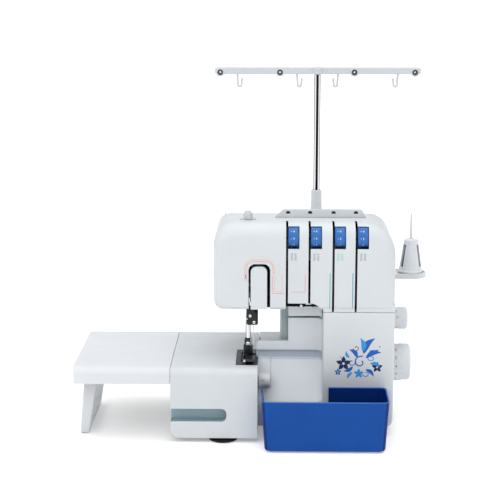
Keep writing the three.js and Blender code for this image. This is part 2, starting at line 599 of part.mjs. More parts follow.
// ---------------------------------------------------------------- spool stand and thread tree
function addSpoolStand() {
  const { left, right, front, back, bottom, top } = STAND;
  const middle = (front + back) / 2;
  const tray = sweep('z', outline([
    [left, front, 18.9], [right, front, 18.9], [right, back, 18.9], [left, back, 18.9],
  ]), bottom, top, { bevel: 1, rounds: 1, segments: 3 });
  const socket = rod('z', [MAST.x, MAST.y], 14, bottom - 8, top + 14, { sides: 20 });
  const bracket = block([MAST.x - 22, MAST.x + 22], [COLUMN.back + GAP, front + 4], [bottom - 16, top]);
  const tubeBore = rod('z', [MAST.x, MAST.y], 9.3, bottom - 30, top + 30, { sides: 20 });
  const pinBores = PIN_X.map((x) => rod('z', [x, middle], 2.3, bottom + 3, top + 5, { sides: 12 }));
  part('spool_stand', cut(join(tray, socket, bracket), tubeBore, ...pinBores), WHITE);

  const cone = [
    [18.5, 0], [18.5, 3], [10.6, 47], [2.6, 50], [2.6, 47.5], [8.9, 45], [16.6, 1.6], [16.6, 0], [18.5, 0],
  ];
  PIN_X.forEach((x, i) => {
    part(`spool_pin_${i + 1}`, rod('z', [x, middle], 2, bottom + 3.4, 279, { sides: 10 }), WHITE);
    part(`cone_holder_${i + 1}`, turned(cone, 20, 'z', [x, middle], top + GAP), WHITE);
  });
}

function addMast() {
  const { x, y, tubeBottom, tubeTop, rodBottom, rodTop, rodRadius } = MAST;
  const bore = rodRadius + 0.4;
  const tube = [[bore, 0], [9, 0], [9, tubeTop - tubeBottom - 26], [8, tubeTop - tubeBottom - 24],
    [8, tubeTop - tubeBottom], [bore, tubeTop - tubeBottom], [bore, 0]];
  part('mast_tube', turned(tube, 20, 'z', [x, y], tubeBottom), WHITE);
  part('mast_rod', rod('z', [x, y], rodRadius, rodBottom, rodTop, { sides: 16 }), CHROME);
}

function hook({ x, open }) {
  const drop = TREE.bottom + 2;
  const gap = 3.8;
  const half = gap / 2;
  const arm = outline([[-half - 3, drop], [-half - 2, 463, 3.6], [half + 2, 463, 3.6], [half + 2.6, 476, 1],
    [half, 476], [half, 467, 1.8], [-half, 467, 1.8], [-half, drop]]);
  const geometry = sweep('y', arm, MAST.y - 2, MAST.y + 2);
  if (open < 0) geometry.rotateZ(Math.PI).translate(0, 2 * MAST.y, 0);
  return geometry.translate(x, 0, 0);
}

function addThreadTree() {
  const { left, right, bottom, top, thickness } = TREE;
  const middle = (bottom + top) / 2 - 2;
  const bar = sweep('y', outline([
    [left, bottom, 4], [right, bottom, 4], [right, top, 4], [left, top, 4],
  ]), MAST.y - thickness / 2, MAST.y + thickness / 2);
  const lugs = EYELET_X.map((x) => rod('y', [x, middle], 6, MAST.y - 5, MAST.y + 5, { sides: 16 }));
  const holes = EYELET_X.map((x) => rod('y', [x, middle], 2.1, MAST.y - 8, MAST.y + 8, { sides: 12 }));
  const boss = rod('z', [MAST.x, MAST.y], 8.5, bottom, top, { sides: 16 });
  part('thread_tree', cut(join(bar, boss, ...lugs, ...HOOKS.map(hook)), ...holes), WHITE);
}

addBase();
addFrame();
addHead();
addRearHousing();
addThreadGuidePlate();
addFreeArm();
addLoopers();
addNeedleBar();
addPresser();
addTensionDials();
addDrive();
addSideControls();
addFrontCover();
addTrimBin();
addClothPlateBox();
addTable();
addSpoolStand();
addMast();
addThreadTree();

machine.position.set(-CENTRE_X, -CENTRE_Y, 0);

export default machine;
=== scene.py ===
"""Looks of a four-thread overlock machine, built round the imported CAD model.

Shapes are drawn in millimetres in the machine's own coordinates, the ones the CAD source uses:
X = 160 is the head's right end, Y = 30 is its front face and Z = 0 is the table top.
`place` turns a finished piece into metres in the row frame and hangs it on its CAD body.
"""
import math
from types import SimpleNamespace

import bmesh
import bpy
from mathutils import Matrix, Vector


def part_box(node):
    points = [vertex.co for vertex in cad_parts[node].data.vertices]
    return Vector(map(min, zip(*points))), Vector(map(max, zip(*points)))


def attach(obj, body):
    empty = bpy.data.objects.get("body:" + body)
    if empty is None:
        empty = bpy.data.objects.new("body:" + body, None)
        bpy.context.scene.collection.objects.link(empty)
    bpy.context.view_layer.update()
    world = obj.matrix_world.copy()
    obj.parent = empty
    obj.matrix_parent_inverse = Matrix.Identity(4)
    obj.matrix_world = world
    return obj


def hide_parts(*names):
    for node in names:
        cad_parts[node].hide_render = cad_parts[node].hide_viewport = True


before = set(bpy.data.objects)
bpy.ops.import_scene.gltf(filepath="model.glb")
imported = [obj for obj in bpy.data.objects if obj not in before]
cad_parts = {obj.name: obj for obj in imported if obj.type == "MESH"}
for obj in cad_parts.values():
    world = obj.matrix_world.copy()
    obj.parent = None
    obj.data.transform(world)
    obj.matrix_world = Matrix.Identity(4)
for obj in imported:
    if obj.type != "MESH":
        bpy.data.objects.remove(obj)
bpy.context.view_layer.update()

HEAD_RIGHT = 160.0
HEAD_FRONT = 30.0
low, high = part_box("head_housing")
ORIGIN = Vector((HEAD_RIGHT - high.x * 1000, HEAD_FRONT - low.y * 1000, 0))
TO_FRAME = Matrix.Scale(0.001, 4) @ Matrix.Translation(-ORIGIN)


def span(node):
    """A CAD node's box in machine millimetres."""
    a, b = (corner * 1000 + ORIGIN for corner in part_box(node))
    return SimpleNamespace(left=a.x, right=b.x, front=a.y, back=b.y, bottom=a.z, top=b.z,
                           x=(a.x + b.x) / 2, y=(a.y + b.y) / 2, z=(a.z + b.z) / 2)


# ---------------------------------------------------------------- driving dimensions
WALL = 2.6
HEAD = span("head_housing")
HEAD.bottom = 176
HEAD.face_bottom = 179
HEAD_CORNER = {"bottom_left": 12, "top_right": 42, "top_left": 29}
TOP_FILLET = 20
SIDE_FILLET = 9
SLOTS = [span(f"tension_dial_{i}").left - 1.7 for i in range(1, 5)]
SLOT_BOTTOMS = [188, 188, 170, 170]
SLOT_WIDTH = 3
DIAL = span("tension_dial_1")
DIAL.radius = (DIAL.top - DIAL.bottom) / 2
DIAL.width = DIAL.right - DIAL.left
COVER = span("front_cover")
COVER.foot_left = COVER.left
COVER.foot_top = 65
COVER.left = -8
COVER.step = 15.7
COVER.fold = 62.5
LEDGE_LOW = 127
LEDGE_HIGH = 160
BOX = span("cloth_plate_box")
TABLE = span("extension_table")
BIN = span("trim_bin")
STAND = span("spool_stand")
MAST = span("mast_rod")
TREE = span("thread_tree")
PIN_X = [span(f"spool_pin_{i}").x for i in range(1, 5)]
EYES = (-83, 3, 110, 197)  # places of the thread tree's eyelets
HOOKS = ((-55, 1), (31, 1), (83, -1), (169, -1))  # places of its hooks and the side each opens to
REAR = SimpleNamespace(left=4.3, front=76, back=190, seam=110.4, head_back=165)
BED = SimpleNamespace(left=-8.3, shelf_left=-25.4, shelf_front=91, back=199, top=103.5)

SKY_LOW = 0.45  # brightness of the studio at the horizon and overhead
SKY_HIGH = 1.5
FLOOR_HALF_SIZE = 80
FLOOR_GLOW = 0.3  # lifts the shadows on the floor
LAMPS = {"top_light": ((0.1, -0.3, 2.2), 1.8, 10.5), "front_light": ((-0.9, -1.9, 1.6), 1.2, 9.5)}
CAMERA_SPOT = (0.028, -1.9089, 0.6423)
CAMERA_DOWN = 11.6715  # degrees below level
CAMERA_TURN = 1.138
FOCAL_LENGTH = 100.8
INK = 0.06  # how far a printed mark stands proud of its surface
SUNK = 0.25  # and how far its closed underside reaches below it


# ---------------------------------------------------------------- mesh helpers
def make(name, verts, faces, materials=()):
    mesh = bpy.data.meshes.new(name)
    mesh.from_pydata([tuple(v) for v in verts], [], faces)
    for material in materials:
        mesh.materials.append(material)
    piece = bpy.data.objects.new(name, mesh)
    bpy.context.scene.collection.objects.link(piece)
    face_out(mesh)
    return piece


def face_out(mesh):
    work = bmesh.new()
    work.from_mesh(mesh)
    bmesh.ops.remove_doubles(work, verts=work.verts, dist=1e-4)
    bmesh.ops.recalc_face_normals(work, faces=work.faces)
    work.to_mesh(mesh)
    work.free()


def apply_modifiers(piece):
    graph = bpy.context.evaluated_depsgraph_get()
    mesh = bpy.data.meshes.new_from_object(piece.evaluated_get(graph), depsgraph=graph)
    piece.modifiers.clear()
    piece.data = mesh
    return piece


def combine(piece, tool, operation):
    modifier = piece.modifiers.new("combine", "BOOLEAN")
    modifier.operation = operation
    modifier.object = tool
    modifier.solver = "EXACT"
    modifier.material_mode = "TRANSFER"
    apply_modifiers(piece)
    bpy.data.objects.remove(tool)
    return piece


def cut(piece, *tools):
    for tool in tools:
        combine(piece, tool, "DIFFERENCE")
    return piece


def unite(piece, *others):
    for other in others:
        combine(piece, other, "UNION")
    return piece


def keep_common(piece, other):
    return combine(piece, other, "INTERSECT")


def gather(name, pieces):
    """Several closed shapes as one mesh, each left as it is."""
    work = bmesh.new()
    materials = []
    for piece in pieces:
        start = len(work.faces)
        work.from_mesh(piece.data)
        work.faces.ensure_lookup_table()
        own = list(piece.data.materials)
        for material in own:
            if material not in materials:
                materials.append(material)
        for face in work.faces[start:]:
            if own:
                face.material_index = materials.index(own[face.material_index])
        bpy.data.objects.remove(piece)
    mesh = bpy.data.meshes.new(name)
    work.to_mesh(mesh)
    work.free()
    for material in materials:
        mesh.materials.append(material)
    joined = bpy.data.objects.new(name, mesh)
    bpy.context.scene.collection.objects.link(joined)
    return joined


def place(piece, body, replaces=(), sharp=32):
    """Turns a finished piece into metres, shades it and hangs it on its CAD body."""
    mesh = piece.data
    mesh.transform(TO_FRAME)
    mesh.shade_smooth()
    mesh.set_sharp_from_angle(angle=math.radians(sharp))
    weighted = piece.modifiers.new("weighted", "WEIGHTED_NORMAL")
    weighted.keep_sharp = True
    weighted.weight = 80
    apply_modifiers(piece)
    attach(piece, body)
    if replaces:
        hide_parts(*replaces)
    return piece


# ---------------------------------------------------------------- outlines and sweeps
def arc_points(centre, radius, start, turn, steps):
    return [(centre[0] + radius * math.cos(start + turn * k / steps),
             centre[1] + radius * math.sin(start + turn * k / steps)) for k in range(steps + 1)]


def outline(points, steps=8):
    """A closed outline with rounded corners. Each point is (u, v) or (u, v, radius)."""
    ring = []
    for i, point in enumerate(points):
        here = Vector(point[:2])
        radius = max(point[2], 0.02) if len(point) > 2 else 0
        if radius == 0:
            ring.append((here.x, here.y))
            continue
        back = (Vector(points[i - 1][:2]) - here).normalized()
        ahead = (Vector(points[(i + 1) % len(points)][:2]) - here).normalized()
        half = back.angle(ahead) / 2
        start = here + back * (radius / math.tan(half))
        centre = here + (back + ahead).normalized() * (radius / math.sin(half))
        side = -1 if back.x * ahead.y - back.y * ahead.x > 0 else 1
        begin = math.atan2(start.y - centre.y, start.x - centre.x)
        ring += arc_points(centre, radius, begin, side * (math.pi - 2 * half), steps)
    return ring


def rounded(u, v, radii=None, steps=8):
    """A rectangle over two ranges. Its corners' radii start at the low ones, or one radius serves all."""
    corners = ((u[0], v[0]), (u[1], v[0]), (u[1], v[1]), (u[0], v[1]))
    if not isinstance(radii, tuple):
        radii = (radii,) * 4
    points = [spot if radius is None else (*spot, radius) for spot, radius in zip(corners, radii)]
    return outline(points, steps)


def circle(u, v, radius, sides=64):
    return arc_points((u, v), radius, 0, 2 * math.pi, sides)[:-1]


def at(axis, point, w):
    """(u, v) is (y, z) along x, (x, z) along y and (x, y) along z."""
    u, v = point
    return {"x": (w, u, v), "y": (u, w, v), "z": (u, v, w)}[axis]


def loft(name, rings, materials=()):
    count = len(rings[0])
    last = len(rings) - 1
    faces = [(k * count + i, k * count + (i + 1) % count, (k + 1) * count + (i + 1) % count,
              (k + 1) * count + i) for k in range(last) for i in range(count)]
    faces += [tuple(range(count)), tuple(range(last * count, (last + 1) * count))]
    return make(name, [p for ring in rings for p in ring], faces, materials)


def quarter(radius, depth):
    """How far a rounded edge of this radius draws a side in, `depth` from the face."""
    return 0 if depth >= radius else radius - math.sqrt(radius ** 2 - (radius - depth) ** 2)


def stations(start, end, start_round=0, end_round=0, steps=6):
    """Places along a sweep, close together where the ends are rounded."""
    eased = [1 - math.cos(math.pi / 2 * k / steps) for k in range(steps + 1)]
    first = [start + start_round * e for e in eased] if start_round else [start]
    last = [end - end_round * e for e in reversed(eased)] if end_round else [end]
    return first + [w for w in last if w > first[-1] + 1e-6]


def swept(name, axis, shape, places, materials=()):
    """Lofts shape(w), an outline, along an axis."""
    return loft(name, [[at(axis, p, w) for p in shape(w)] for w in places], materials)


def prism(axis, ring, start, end, materials=(), rounding=0, name="prism"):
    """A straight sweep. With rounding the outline draws in towards its centre at both ends."""
    if not rounding:
        return swept(name, axis, lambda w: ring, [start, end], materials)
    normals = []
    for i in range(len(ring)):
        before, after = Vector(ring[i - 1]), Vector(ring[(i + 1) % len(ring)])
        along = (after - before).normalized()
        normals.append(Vector((-along.y, along.x)))
    area = sum(a[0] * b[1] - b[0] * a[1] for a, b in zip(ring, ring[1:] + ring[:1]))
    inward = 1 if area > 0 else -1

    def shape(w):
        inset = quarter(rounding, w - start) + quarter(rounding, end - w)
        return [(p[0] + inward * n.x * inset, p[1] + inward * n.y * inset)
                for p, n in zip(ring, normals)]

    return swept(name, axis, shape, stations(start, end, rounding, rounding, 4), materials)


def block(x, y, z, materials=()):
    return prism("z", [(x[0], y[0]), (x[1], y[0]), (x[1], y[1]), (x[0], y[1])], z[0], z[1], materials)


def rod(axis, centre, radius, start, end, materials=(), sides=64, rounding=0):
    return prism(axis, circle(*centre, radius, sides), start, end, materials, rounding)


def turned(name, axis, centre, profile, materials=(), sides=96, ripple=None):
    """A lathe-turned piece. The profile is (radius, w) and starts and ends on the axis or closes."""
    closed = profile[0] == profile[-1]
    points = profile[:-1] if closed else profile
    verts = []
    for radius, w in points:
        for k in range(sides):
            angle = 2 * math.pi * k / sides
            r = radius + (ripple(w, angle) if ripple and radius > 0 else 0)
            verts.append(at(axis, (centre[0] + r * math.cos(angle), centre[1] + r * math.sin(angle)), w))
    rows = len(points)
    pairs = rows if closed else rows - 1
    faces = [(k * sides + i, k * sides + (i + 1) % sides, (k + 1) % rows * sides + (i + 1) % sides,
              (k + 1) % rows * sides + i) for k in range(pairs) for i in range(sides)]
    return make(name, verts, faces, materials)


def ribbed(count, depth, start, end):
    """Grip ribs round a knob, between two places along its axis."""
    def ripple(w, angle):
        return -depth * (0.5 + 0.5 * math.cos(count * angle)) if start <= w <= end else 0
    return ripple


def tube(name, points, radius, materials=(), sides=16):
    """A round bar along a smooth path, with flat ends."""
    path = [Vector(p) for p in points]
    rings = []
    side = None
    for i, here in enumerate(path):
        ahead = (path[min(i + 1, len(path) - 1)] - path[max(i - 1, 0)]).normalized()
        if side is None:
            side = ahead.orthogonal().normalized()
        side = (side - ahead * side.dot(ahead)).normalized()
        other = ahead.cross(side)
        rings.append([here + (side * math.cos(a) + other * math.sin(a)) * radius
                      for a in (2 * math.pi * k / sides for k in range(sides))])
    return loft(name, rings, materials)


# ---------------------------------------------------------------- printed marks
def on_front(y):
    """Marks on a face that looks to the front."""
    return lambda u, v, lift: (u, y - lift, v)


def round_x(centre, radius):
    """Marks wrapped round a dial whose axis lies along X. v is the length round the rim from the front."""
    def spot(u, v, lift):
        angle = math.pi + v / radius
        return (u, centre[0] + (radius + lift) * math.cos(angle),
            centre[1] - (radius + lift) * math.sin(angle))
    return spot


def patch(ring, spot, material, lift=INK):
    """A thin closed mark with the given outline."""
    rings = [[spot(u, v, height) for u, v in ring] for height in (-SUNK, lift)]
    return loft("mark", rings, [material])


def stroke(path, width, spot, material):
    """A printed line of even width."""
    points = [Vector(p) for p in path]
    left, right = [], []
    for i, here in enumerate(points):
        before = (here - points[i - 1]).normalized() if i else None
        after = (points[i + 1] - here).normalized() if i + 1 < len(points) else None
        along = ((before or after) + (after or before)).normalized()
        across = Vector((-along.y, along.x))
        stretch = 1 / max(0.5, along.dot(after or before))
        left.append(here + across * (width / 2 * stretch))
        right.append(here - across * (width / 2 * stretch))
    rows = []
    for a, b in zip(left, right):
        rows.append([spot(a.x, a.y, INK), spot(b.x, b.y, INK), spot(b.x, b.y, -SUNK), spot(a.x, a.y, -SUNK)])
    return loft("mark", rows, [material])


def numeral(text, height, spot, material, centre):
    """A printed number, laid on a surface by spot(u, v, lift)."""
    curve = bpy.data.curves.new("numeral", "FONT")
    curve.body = text
    curve.size = height * 1.4
    curve.align_x = "CENTER"
    curve.align_y = "CENTER"
    curve.extrude = 0.1
    curve.resolution_u = 3
    holder = bpy.data.objects.new("numeral", curve)
    bpy.context.scene.collection.objects.link(holder)
    bpy.context.view_layer.update()
    graph = bpy.context.evaluated_depsgraph_get()
    mesh = bpy.data.meshes.new_from_object(holder.evaluated_get(graph), depsgraph=graph)
    bpy.data.objects.remove(holder)
    for vertex in mesh.vertices:
        x, y, z = vertex.co
        vertex.co = spot(x + centre[0], y + centre[1], INK if z > 0 else -SUNK)
    piece = bpy.data.objects.new("numeral", mesh)
    mesh.materials.clear()
    mesh.materials.append(material)
    bpy.context.scene.collection.objects.link(piece)
    face_out(mesh)
    return piece


# ---------------------------------------------------------------- materials
def new_material(name, roughness, metallic=0.0, specular=0.5, transmission=0.0):
    material = bpy.data.materials.new(name)
    material.use_nodes = True
    tree = material.node_tree
    shader = tree.nodes["Principled BSDF"]
    shader.inputs["Roughness"].default_value = roughness
    shader.inputs["Metallic"].default_value = metallic
    shader.inputs["Specular IOR Level"].default_value = specular
    shader.inputs["Transmission Weight"].default_value = transmission
    return material, tree, shader


def noise(tree, scale, detail=3.0, stretch=(1, 1, 1)):
    """Noise in the piece's own metres, `scale` lumps to the metre."""
    coordinates = tree.nodes.new("ShaderNodeTexCoord")
    mapping = tree.nodes.new("ShaderNodeMapping")
    mapping.inputs["Scale"].default_value = stretch
    texture = tree.nodes.new("ShaderNodeTexNoise")
    texture.inputs["Scale"].default_value = scale
    texture.inputs["Detail"].default_value = detail
    tree.links.new(coordinates.outputs["Object"], mapping.inputs["Vector"])
    tree.links.new(mapping.outputs["Vector"], texture.inputs["Vector"])
    return texture.outputs["Fac"]


def ranged(tree, value, low_end, high_end):
    """Spreads noise over a range of values."""
    remap = tree.nodes.new("ShaderNodeMapRange")
    remap.inputs["From Min"].default_value = 0.3
    remap.inputs["From Max"].default_value = 0.7
    remap.inputs["To Min"].default_value = low_end
    remap.inputs["To Max"].default_value = high_end
    tree.links.new(value, remap.inputs["Value"])
    return remap.outputs["Result"]


def two_tone(tree, value, colour, shade):
    """The colour, going a little darker where the noise is high."""
    mix = tree.nodes.new("ShaderNodeMix")
    mix.data_type = "RGBA"
    mix.inputs["A"].default_value = (*colour, 1)
    mix.inputs["B"].default_value = (*(c * shade for c in colour), 1)
    tree.links.new(ranged(tree, value, 0, 1), mix.inputs["Factor"])
    return mix.outputs["Result"]


def bumped(tree, value, strength, depth):
    bump = tree.nodes.new("ShaderNodeBump")
    bump.inputs["Strength"].default_value = strength
    bump.inputs["Distance"].default_value = depth
    tree.links.new(value, bump.inputs["Height"])
    return bump.outputs["Normal"]


def moulded(name, colour, roughness, specular=0.5, grain=700, relief=0.00004, shade=0.95):
    """Injection-moulded plastic: fine spark-eroded grain, uneven gloss and a faint flow pattern."""
    material, tree, shader = new_material(name, roughness, specular=specular)
    links = tree.links
    links.new(two_tone(tree, noise(tree, 14, 2), colour, shade), shader.inputs["Base Color"])
    links.new(ranged(tree, noise(tree, 45, 4), roughness - 0.04, roughness + 0.07),
        shader.inputs["Roughness"])
    links.new(bumped(tree, noise(tree, grain, 2), 0.35, relief), shader.inputs["Normal"])
    return material


def metal(name, colour, roughness, stretch=(1, 1, 1), scale=400, relief=0.00003, shade=0.85, strength=0.3):
    """Metal with a drawn, brushed or cast surface, set by how the noise is stretched."""
    material, tree, shader = new_material(name, roughness, metallic=1.0)
    links = tree.links
    links.new(two_tone(tree, noise(tree, 60, 3, stretch), colour, shade), shader.inputs["Base Color"])
    links.new(ranged(tree, noise(tree, scale / 2, 3, stretch), max(0.03, roughness - 0.06), roughness + 0.08),
              shader.inputs["Roughness"])
    links.new(bumped(tree, noise(tree, scale, 3, stretch), strength, relief), shader.inputs["Normal"])
    return material


def ink(name, colour):
    """Pad-printed ink: a little matt, with a slightly uneven film."""
    material, tree, shader = new_material(name, 0.5, specular=0.3)
    tree.links.new(two_tone(tree, noise(tree, 400, 2), colour, 0.85), shader.inputs["Base Color"])
    tree.links.new(ranged(tree, noise(tree, 900, 2), 0.42, 0.6), shader.inputs["Roughness"])
    return material


def clear_plastic():
    """Milky translucent plastic with a soft sheen."""
    material, tree, shader = new_material("milky_plastic", 0.22, specular=0.5, transmission=0.35)
    tree.links.new(two_tone(tree, noise(tree, 30, 2), (0.72, 0.74, 0.75), 0.95), shader.inputs["Base Color"])
    tree.links.new(ranged(tree, noise(tree, 80, 2), 0.18, 0.3), shader.inputs["Roughness"])
    return material


WHITE = moulded("white_plastic_body", (0.565, 0.595, 0.62), 0.33, specular=0.45)
# painted shade: a darker copy of the white plastic for the cloth plate box, which sits lower in less light
WHITE_BOX_PAINTED_SHADE = moulded("white_plastic_box_painted_shade", (0.545, 0.575, 0.6), 0.33, specular=0.45)
# painted light: a lighter copy of the white plastic that lifts the shaded chute, ledges and curtain
CHUTE_PAINTED_LIGHT = moulded("white_plastic_chute_painted_light", (0.66, 0.70, 0.735), 0.36, specular=0.4)
# painted shade: darker, bluer greys for the shadow in the undercut below the ledge
SHADE = moulded("painted_shade_undercut", (0.40, 0.455, 0.54), 0.5, specular=0.25)
LIGHT_SHADE = moulded("painted_half_shade_undercut_edge", (0.53, 0.58, 0.64), 0.45, specular=0.3)
# painted shade: a darker green-grey for the throat wall in the recess under the head
THROAT_PAINTED_SHADE = moulded("painted_shade_throat", (0.37, 0.46, 0.475), 0.45, specular=0.3)
# painted light: a lighter copy of the white plastic for the extension table and its leg
WHITE_TABLE_PAINTED_LIGHT = moulded("white_plastic_table_painted_light", (0.60, 0.62, 0.65), 0.36, specular=0.45)
TREE_PLASTIC = moulded("white_plastic_tree", (0.50, 0.53, 0.56), 0.38, grain=1200)
EYELET = moulded("eyelet", (0.055, 0.06, 0.066), 0.4, specular=0.35, shade=0.7)
# painted reflection: bright and near-black chrome bands laid on the mast rod by face direction
MAST_PAINTED_HIGHLIGHT = metal("painted_highlight_band", (0.70, 0.71, 0.73), 0.12, (1, 1, 0.05), 300, 0.000005, 0.96, 0.05)
MAST_PAINTED_BLACK_REFLECTION = metal("painted_black_reflection_band", (0.012, 0.012, 0.013), 0.12, (1, 1, 0.05), 300, 0.000005, 0.9, 0.05)
WHITE_SMALL = moulded("white_plastic_small", (0.60, 0.625, 0.655), 0.38, grain=1200)
BLUE = moulded("blue_plastic_bin", (0.0015, 0.060, 0.295), 0.42, specular=0.16, shade=0.88)
# painted highlight on the bin's rim and painted shade on its inside: copies of the same blue plastic
BLUE_RIM_PAINTED_HIGHLIGHT = moulded("blue_plastic_rim_painted_highlight", (0.02, 0.12, 0.42), 0.36, specular=0.3, shade=0.92)
BLUE_INSIDE_PAINTED_SHADE = moulded("blue_plastic_inside_painted_shade", (0.0008, 0.022, 0.155), 0.45, specular=0.12, shade=0.88)
# painted shade: a dark grey-green for the inside of the finger recess
RECESS_PAINTED_SHADE = moulded("painted_shade_recess", (0.27, 0.38, 0.42), 0.5)
DIAL_BLUE = moulded("blue_plastic_dial", (0.018, 0.125, 0.40), 0.36, specular=0.4, grain=1500, shade=0.9)
BLACK = moulded("black_plastic", (0.008, 0.008, 0.009), 0.4, specular=0.35, shade=0.6)
# painted shade: near-black for the inner faces of shells, openings and holes
HOLLOW_PAINTED_SHADE = moulded("painted_shade_inner_wall", (0.012, 0.012, 0.014), 0.75, specular=0.15, shade=0.7)
RUBBER = moulded("black_rubber", (0.006, 0.006, 0.006), 0.72, specular=0.25, grain=500, relief=0.00012)
MILKY = clear_plastic()
CHROME = metal("chrome", (0.62, 0.63, 0.65), 0.07, (1, 1, 0.05), 300, 0.000005, 0.96, 0.05)
MAST_PAINTED_DARK_CHROME = metal("mast_chrome_painted_dark_reflection", (0.115, 0.12, 0.125), 0.09, (1, 1, 0.05), 300, 0.000005, 0.9, 0.05)
DARK_STEEL = metal("dark_steel", (0.06, 0.065, 0.075), 0.3, (0.08, 1, 1), 1500)
STEEL = metal("brushed_steel", (0.42, 0.43, 0.45), 0.28, (0.08, 1, 1), 1500)
CAST = metal("cast_metal", (0.33, 0.34, 0.35), 0.55, (1, 1, 1), 500, 0.0002, 0.7, 0.6)
SHEET = metal("plated_sheet", (0.042, 0.052, 0.068), 0.36, (1, 0.06, 1), 1200)
INKS = {
    "black": ink("ink_black", (0.02, 0.02, 0.03)),
    "grey": ink("ink_grey", (0.16, 0.15, 0.15)),
    "pale": ink("ink_white", (0.75, 0.78, 0.85)),
    "orange": ink("ink_orange", (0.80, 0.42, 0.25)),
    "pink": ink("ink_pink", (0.70, 0.25, 0.30)),
    "green": ink("ink_green", (0.08, 0.45, 0.30)),
    "blue": ink("ink_blue", (0.09, 0.32, 0.48)),
    "flower": ink("ink_flower", (0.008, 0.11, 0.46)),
    "flower_light": ink("ink_flower_light", (0.03, 0.28, 0.66)),
    "flower_dark": ink("ink_flower_dark", (0.008, 0.015, 0.09)),
}


# ---------------------------------------------------------------- head
def head_ring(y, inset=0.0, front=HEAD.front, top_fillet=TOP_FILLET, side_fillet=SIDE_FILLET):
    depth = y - front
    side = quarter(side_fillet, depth) + inset
    over = quarter(top_fillet, depth) + inset
    under = quarter(5, depth) + inset
    return rounded((HEAD.left + side, HEAD.right - side), (HEAD.face_bottom + under, HEAD.top - over),
        (HEAD_CORNER["bottom_left"] - side * 0.6, 0.4, HEAD_CORNER["top_right"] - side,
        HEAD_CORNER["top_left"] - side * 0.6), 16)


def groove_ring(inset):
    groove = SimpleNamespace(left=-38.5, right=-9.4, top=242)
    return rounded((groove.left + inset, groove.right - inset), (HEAD.face_bottom - 6, groove.top - inset),
        (None, None, 9 - inset, 9 - inset), 10)


def add_head():
    seam = 110
    shell = swept("head_shell", "y", head_ring, stations(HEAD.front, seam, TOP_FILLET, 0, 12), [WHITE])
    lip = block((COVER.fold + 0.3, HEAD.right), (HEAD.front + 1, 50), (HEAD.bottom, HEAD.face_bottom + 8),
        [WHITE])
    unite(shell, lip)
    inner = HEAD.front + WALL
    hollow = swept("hollow", "y", lambda y: head_ring(y, WALL, inner, TOP_FILLET - WALL, SIDE_FILLET - WALL),
                   stations(inner, seam + 20, TOP_FILLET - WALL, 0, 8), [HOLLOW_PAINTED_SHADE])
    needle_way = block((-56, -14), (44, 100), (HEAD.face_bottom - 5, HEAD.face_bottom + 8), [HOLLOW_PAINTED_SHADE])
    column_way = block((66, HEAD.right - WALL), (50, seam + 1),
        (HEAD.face_bottom - 5, HEAD.face_bottom + 8), [HOLLOW_PAINTED_SHADE])
    mouth = swept("mouth", "y", lambda y: groove_ring(-max(0, HEAD.front + 0.9 - y)),
                  [HEAD.front - 0.6, HEAD.front + 0.9], [WHITE])
    # The groove's cut faces take black plastic: painted shade for its dark inside.
    groove = prism("y", groove_ring(0), HEAD.front + 0.8, HEAD.front + 13, [BLACK])
    cut(shell, hollow, needle_way, column_way, mouth, groove)
    foot = SLOT_BOTTOMS[0]
    opening = [(SLOTS[0] - 1.5, 170), (SLOTS[0] - 1.5, foot), (SLOTS[1] + 1.5, foot)]
    opening += arc_points((SLOTS[1] + 1.5, foot - 17), 17, math.pi / 2, -math.pi / 2, 12)[1:]
    opening.append((COVER.fold - 0.3, 170))
    cut(shell, prism("y", opening, HEAD.front - 1, 49.5, [HOLLOW_PAINTED_SHADE]))
    for x, foot in zip(SLOTS, SLOT_BOTTOMS):
        half = SLOT_WIDTH / 2
        # Slots, dial windows and pockets are cut with black plastic, so their cut faces are painted shade.
        window = block((x + half - 0.1, x + half + DIAL.width + 0.8), (HEAD.front - 1, 39),
            (263.4, HEAD.top + 1), [BLACK])
        pocket = rod("x", (DIAL.y, DIAL.z), DIAL.radius + 0.4, x + half - 0.1, x + half + DIAL.width + 0.8,
            [BLACK])
        slot = block((x - half, x + half), (HEAD.front - 1, 60), (foot, HEAD.top + 1), [BLACK])
        cut(shell, slot, window, pocket)
    knob = span("pressure_knob")
    cut(shell, rod("z", (knob.x, knob.y), 4.5, HEAD.top - 5, HEAD.top + 2, [BLACK]))
    place(shell, "machine", ["head_housing"])

    place(curtain_panel(), "machine")
    ear = outline([(37, 177.4), (48, 177.4), (47, 183, 2), (40, 184.5, 2)], 4)
    guides = [
        prism("z", rounded((29, 50), (50, 58), (1, 1, 2, 2), 4), 177.2, 178.6, [STEEL], 0.3),
        prism("y", ear, 49.5, 50.7, [STEEL], 0.3),
        screw("y", (33, 180.4), 2.0, 47.6, 50.4, CHROME),
    ]
    place(gather("looper_thread_guides", guides), "machine")

    island = span("take_up_cover")

    def island_ring(y):
        inset = quarter(1.2, y - island.front)
        return rounded((island.left + inset, island.right - inset), (island.bottom, island.top - inset),
            (None, None, 8 - inset, 8 - inset), 10)
    cover = swept("take_up_window", "y", island_ring, stations(island.front, island.back, 1.2), [WHITE])
    place(cover, "machine", ["take_up_cover"])


def curtain_panel():
    """The recessed panel under the head, which sweeps forward into the head's lip on its right."""
    left, right, y = COVER.step, COVER.fold - 0.8, 60
    radius = 5
    curve = [(right - radius + radius * math.sin(math.pi / 2 * k / 10),
        y - 13 * (1 - math.cos(math.pi / 2 * k / 10))) for k in range(11)]
    ring = [(left, y)] + curve + [(right, y + WALL), (left, y + WALL)]
    return prism("z", ring, LEDGE_HIGH + 3, HEAD.face_bottom - 1, [CHUTE_PAINTED_LIGHT], 0, "curtain")


